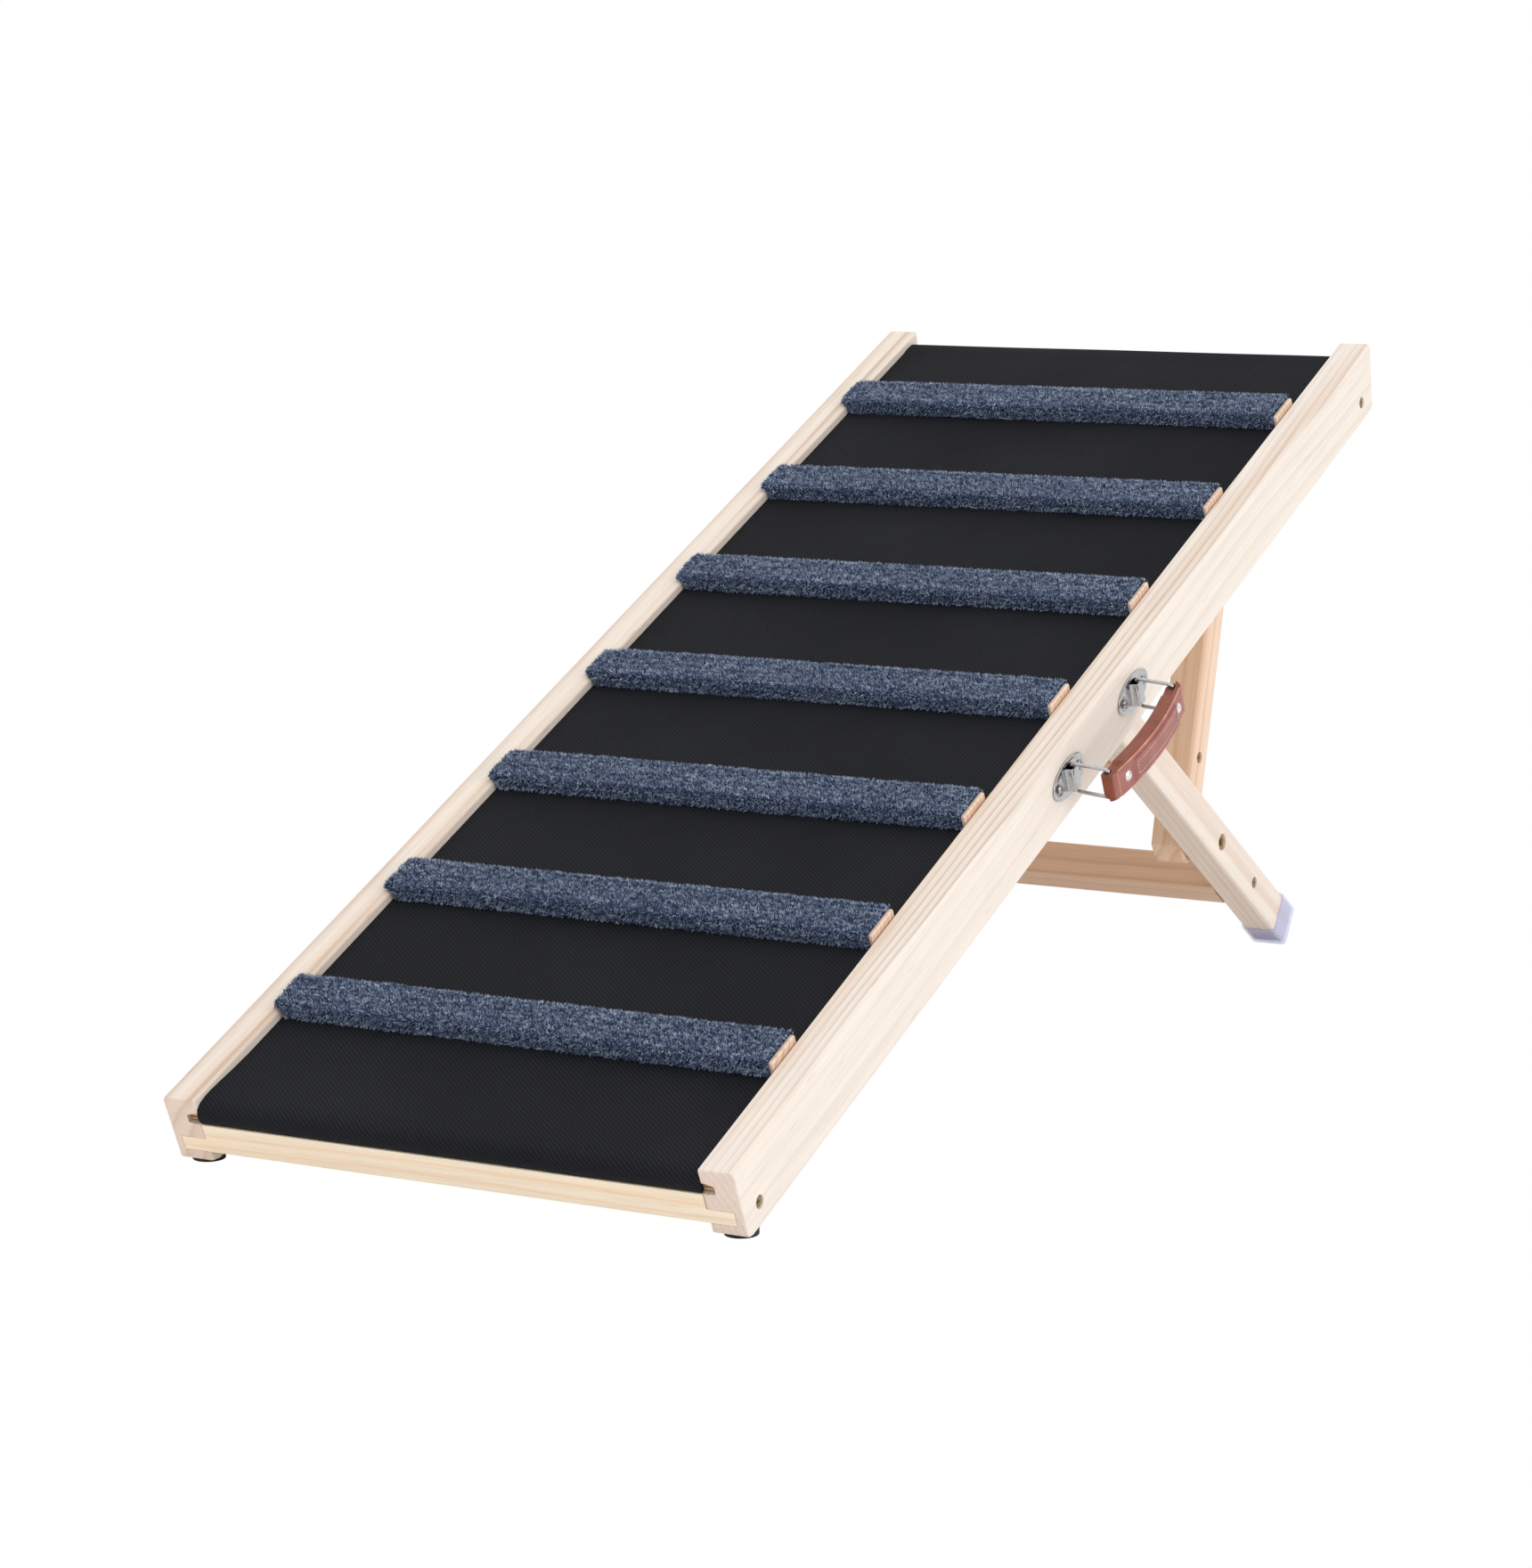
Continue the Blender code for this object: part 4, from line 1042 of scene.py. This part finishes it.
for word in ("low", "high"):
    low, high = extent(f"handle_plate_{word}", DECK)
    _, half_long, half_tall = (high - low) / 2
    plate = solid(f"pressed_plate_{word}", oval_plate(hinge_y[word], half_long, half_tall), "ramp", chrome,
                  "chrome", sharp=60.0)
    thick(f"plate_strap_{word}", *strap(hinge_y[word]), "ramp", chrome, "chrome")
    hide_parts(f"handle_plate_{word}")

# %% Bails
grip_pivot = pivot("grip_swing")
BAIL_HALF, WIRE = 0.0104, 0.0013
out = grip_pivot - pivot("bail_low_swing")
long = np.linalg.norm(out)
outline = round_corners([(0, -BAIL_HALF), (long, -BAIL_HALF), (long, BAIL_HALF), (0, BAIL_HALF)], 0.0026, 8)
outline = spaced(joined(outline, outline[:1]), 0.0011)[:-1]
for word in ("low", "high"):
    hinge = pivot(f"bail_{word}_swing")
    path = hinge + outline[:, :1] * out / long + outline[:, 1:] * up
    tube = along_path(path, WIRE, 16, closed=True)
    wire = solid(f"wire_bail_{word}", tube, f"bail_{word}", chrome, "chrome")
    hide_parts(f"bail_{word}")
print("plates, straps and bails")


# %% [markdown]
# ## The leather grip
#
# The grip is a bowed leather bar, stitched round a padded middle, with a rivet
# near each end and the bails' wires running through its ends.  Its section is a
# rectangle with soft edges, drawn by formula at each step along the bow.  Near
# the ends the side towards the rail is cut lower, where the bails' arms swing.

# %% Leather
def leather(name, colour, dark, painted_sheen=None):
    """Pebbled hide: small cells in the bump, slow stains in the colour.

    The last argument is a paler colour painted on the side that faces away from the rail: a painted sheen of
    the light on that side.
    """
    web = Web(name, colour, 0.45, Specular_IOR_Level=0.35)
    here = web.node("TexCoord")
    where = here.outputs["Object"]
    cells = web.node("TexVoronoi", {"Vector": where, "Scale": 900}, feature="SMOOTH_F1").outputs[0]
    stain = web.noise(where, 95, 4)
    fine = web.noise(where, 1700, 2)
    tone = web.times_plus(fine, 0.3, web.times(stain, 0.7))
    hide = web.ramp(tone, [(0.30, dark), (0.60, colour), (0.85, shade(colour, 1.3))])
    # Painted sheen: faces turned away from the rail are mixed towards a paler mauve, for the light shining on
    # them.
    if painted_sheen:
        outward = web.facing(here.outputs["Normal"], (1, 0, 0))
        painted_sheen_colour = web.ramp(tone, [(0.35, painted_sheen), (0.75, shade(painted_sheen, 1.5))])
        hide = web.mix(web.ramp(outward, [(0.55, 0), (0.80, 1)]), hide, painted_sheen_colour)
    web.tint(hide)
    web.relief(web.times_plus(cells, -1, fine), 0.00030, 0.5)
    return web.material


# The mauve colour given to brown_leather is a painted sheen on its outer face.
brown_leather = leather("brown_leather", srgb(140, 72, 50), srgb(118, 58, 40), painted_sheen=srgb(148, 94, 88))
pale_edge = leather("pale_edge", srgb(216, 150, 132), srgb(170, 108, 92))
GRIP = (grip_pivot, DECK[1])
span = hinge_y["high"] - hinge_y["low"]
ENDS = (("low", 0.0), ("high", span))
THICK, BOW = 0.0055, 0.0055
TALL, LOW_TALL, SEAM = 0.0098, 0.0082, 0.0040
EYE_HOLE = 0.0022


def bow(y):
    """How far the middle line stands out: a parabola between the wires."""
    t = np.clip(2 * y / span - 1, -1, 1)
    return BOW * (1 - t * t)


def from_end(y):
    return np.minimum(y, span - y)


def half_thickness(end):
    """Full between the wires, and a half circle past them."""
    return THICK * np.sqrt(np.clip(1 - (np.minimum(end, 0) / THICK) ** 2, 0, 1))


def face_out(y, z):
    """The outer face: bow, half thickness, soft edges and the padded middle."""
    end = from_end(y)
    half_thick = half_thickness(end)
    edge = np.clip((np.abs(z) - (TALL - 0.0016)) / 0.0016, 0, 1)
    padding = 0.0017 * smooth_step(end, 0.0165, 0.0200) * (1 - smooth_step(np.abs(z), 0.0066, 0.0082))
    seam = 0.0006 * np.exp(-((np.abs(z) - SEAM) / 0.0006) ** 2) * smooth_step(end, 0.019, 0.021)
    return bow(y) + half_thick - 0.0016 * (1 - np.sqrt(1 - edge**2)) * (half_thick / THICK) + padding - seam


# %% Grip shape
turn = np.linspace(-np.pi / 2, 0, 9)
y = [THICK * np.sin(turn), np.linspace(0, span, 120)[1:-1], span - THICK * np.sin(turn[::-1])]
y = np.concatenate(y)[:, None]
end = from_end(y)
half_thick = half_thickness(end)
inner_tall = LOW_TALL + (TALL - LOW_TALL) * smooth_step(end, 0.0095, 0.0135)
step_x = bow(y) + 0.42 * half_thick
edge_z = np.linspace(-1, 1, 49) * TALL
outer_face = (face_out(y, edge_z), edge_z + 0 * y)
shelf = np.linspace(0, 1, 5)[None, 1:]
top_x = face_out(y, np.array([[TALL]])) * (1 - shelf) + step_x * shelf
top = (top_x, TALL + 0 * top_x)
drop = (step_x + 0 * shelf, TALL + (inner_tall - TALL) * shelf)
t = np.linspace(0, np.pi / 2, 6)[None, :]
ease = 0.0014 * half_thick / THICK
inner_x = bow(y) - half_thick
roll = (inner_x + ease * (1 - np.sin(t)), inner_tall - ease * (1 - np.cos(t)))
back_z = np.linspace(1, 0, 8)[None, 1:]
back = (inner_x + 0 * back_z, (inner_tall - ease) * back_z)
upper = [np.concatenate(parts, 1) for parts in zip(top, drop, roll, back)]
lower = [upper[0][:, -2::-1], -upper[1][:, -2::-1]]
ring_x, ring_z = (np.concatenate(parts, 1) for parts in zip(outer_face, upper, lower))
grid = capped(spread(ring_x, y, ring_z))
bar = solid("leather_grip", put(grid, GRIP), "grip", brown_leather, "leather", sharp=50.0)


def bore(piece, y_end):
    """Cut a wire's eye through the bar, top to bottom, and keep the result."""
    start, end = put([0, y_end, -0.02], GRIP), put([0, y_end, 0.02], GRIP)
    way = (end - start) / 2
    side_way = np.cross(way, ACROSS)
    side_way *= EYE_HOLE / np.linalg.norm(side_way)
    other = np.cross(way / np.linalg.norm(way), side_way)
    angle = circle(24)[None, :, None]
    middle = (start + end) / 2 + np.array([[-1.0], [1.0]]) * way
    tube = middle[:, None] + np.cos(angle) * side_way + np.sin(angle) * other
    drill = solid("drill", capped(tube), "grip", brown_leather, "leather")
    cut = piece.modifiers.new("eye", "BOOLEAN")
    cut.operation, cut.solver, cut.object = "DIFFERENCE", "EXACT", drill
    shape = bpy.data.meshes.new_from_object(piece.evaluated_get(bpy.context.evaluated_depsgraph_get()))
    piece.modifiers.clear()
    piece.data = shape
    bpy.data.objects.remove(drill)


for _, y_end in ENDS:
    bore(bar, y_end)
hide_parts("handle_grip")

# %% [markdown]
# A thin ridge of paler leather runs round the outer face.  Thread lies in two
# sewn channels along the padded middle and round its ends: each stitch is a
# short bent tube with its ends in the leather.

# %% Edge ridge, stitches, painted hole shadows and rivets
RIDGE_Z, ALONG, ROUND = TALL - 0.0006, 90, 22
side_y = 0.002 + (span - 0.004) * np.linspace(0, 1, ALONG)
turn_z = np.linspace(RIDGE_Z, -RIDGE_Z, ROUND + 2)[1:-1]
ridge_y = joined(side_y, np.full(ROUND, span - 0.0005), side_y[::-1], np.full(ROUND, 0.0005))
ridge_z = joined(np.full(ALONG, RIDGE_Z), turn_z, np.full(ALONG, -RIDGE_Z), turn_z[::-1])
ridge = spread(face_out(ridge_y, ridge_z) - 0.0001, ridge_y, ridge_z)
solid("grip_edge_ridge", put(along_path(ridge, 0.00055, 8, closed=True), GRIP), "grip", pale_edge, "leather")

thread = Web("waxed_thread", srgb(226, 190, 180), 0.5, Specular_IOR_Level=0.4)
twist = thread.noise(thread.where(), 2400.0, 1.0)
thread.tint(thread.ramp(twist, [(0.3, srgb(190, 146, 134)), (0.7, srgb(240, 214, 204))]))
STITCH, PITCH, RINGS = 0.0019, 0.0026, 7


def stitches(rows):
    """Tubes of seven rings from row starts to row ends, all in one array."""
    start, finish = (np.concatenate([row[k] for row in rows]) for k in (0, 1))
    t = np.linspace(0, 1, RINGS)[None, :, None]
    middle = start[:, None] * (1 - t) + finish[:, None] * t
    raised = face_out(middle[..., 0], middle[..., 1]) + 0.00050 * np.sin(np.pi * t[..., 0]) - 0.0001
    middle = np.concatenate([raised[..., None], middle], -1)
    ahead = finish - start
    ahead = unit(spread(0 * ahead[:, 0], ahead[:, 0], ahead[:, 1]))
    side_way = np.cross(ahead, ACROSS)[:, None, None]
    angle = circle(6)[None, None, :, None]
    girth = 0.00042 * np.sin(np.pi * t)[..., None] ** 0.4
    tube = middle[:, :, None] + girth * (np.cos(angle) * ACROSS + np.sin(angle) * side_way)
    cells = np.concatenate([quads(RINGS, 7, 7 * RINGS * k) for k in range(len(tube))])
    finish_mesh("grip_stitches", put(tube.reshape(-1, 3), GRIP), cells, "grip", thread.material, "leather")


rows = []
for starts, spots, order in ((np.arange(0.0215, span - 0.0230, PITCH), (-SEAM, SEAM), 1),
                             (np.arange(-0.0035, 0.0030, PITCH), (0.0205, span - 0.0205), -1)):
    for spot in spots:
        rows.append([spread(*[ends, spot][::order]) for ends in (starts, starts + STITCH)])
stitches(rows)

# Painted shadow: dark rings round the wires' holes, at the top and bottom of each end, stand for the shade in
# the holes.
hole_shadow_metal = metal("painted_hole_shadow", (0.10, 0.075, 0.06), 0.45)
angle = circle(32)[:-1]
for word, y_end in ENDS:
    for name, z in (("upper", LOW_TALL), ("lower", -LOW_TALL)):
        loop = spread(0.0026 * np.cos(angle), y_end + 0.0026 * np.sin(angle), np.full(32, z))
        tube = along_path(loop, 0.00045, 8, closed=True)
        solid(f"hole_shadow_ring_{word}_{name}", put(tube, GRIP), "grip", hole_shadow_metal, "leather")

for word, y_end in (("low", 0.0115), ("high", span - 0.0115)):
    r = joined(np.linspace(0, 0.0034, 10), [0.0037, 0.0036, 0.0014, 0.0014, 0.0])
    d = joined(0.0014 * (np.linspace(0, 1, 10)) ** 2.4, [0.0016, 0.0019, 0.0019, 0.0075, 0.0076])
    head = ring_round(r, d, 32)
    slant = math.atan2(float(bow(y_end + 0.001) - bow(y_end - 0.001)), 0.002)
    outward = np.array([math.cos(slant), -math.sin(slant), 0.0])
    sideways = np.array([math.sin(slant), math.cos(slant), 0.0])
    spot = np.array([float(face_out(np.array(y_end), np.array(0.0))), y_end, 0.0]) + outward * 0.0015
    points = spot + head @ np.array([-outward, sideways, [0, 0, 1]])
    rivet = solid(f"domed_rivet_{word}", put(points, GRIP), "grip", nickel, "zinc_steel")
    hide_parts(f"grip_rivet_{word}")
print("grip with", sum(len(row[0]) for row in rows), "stitches")
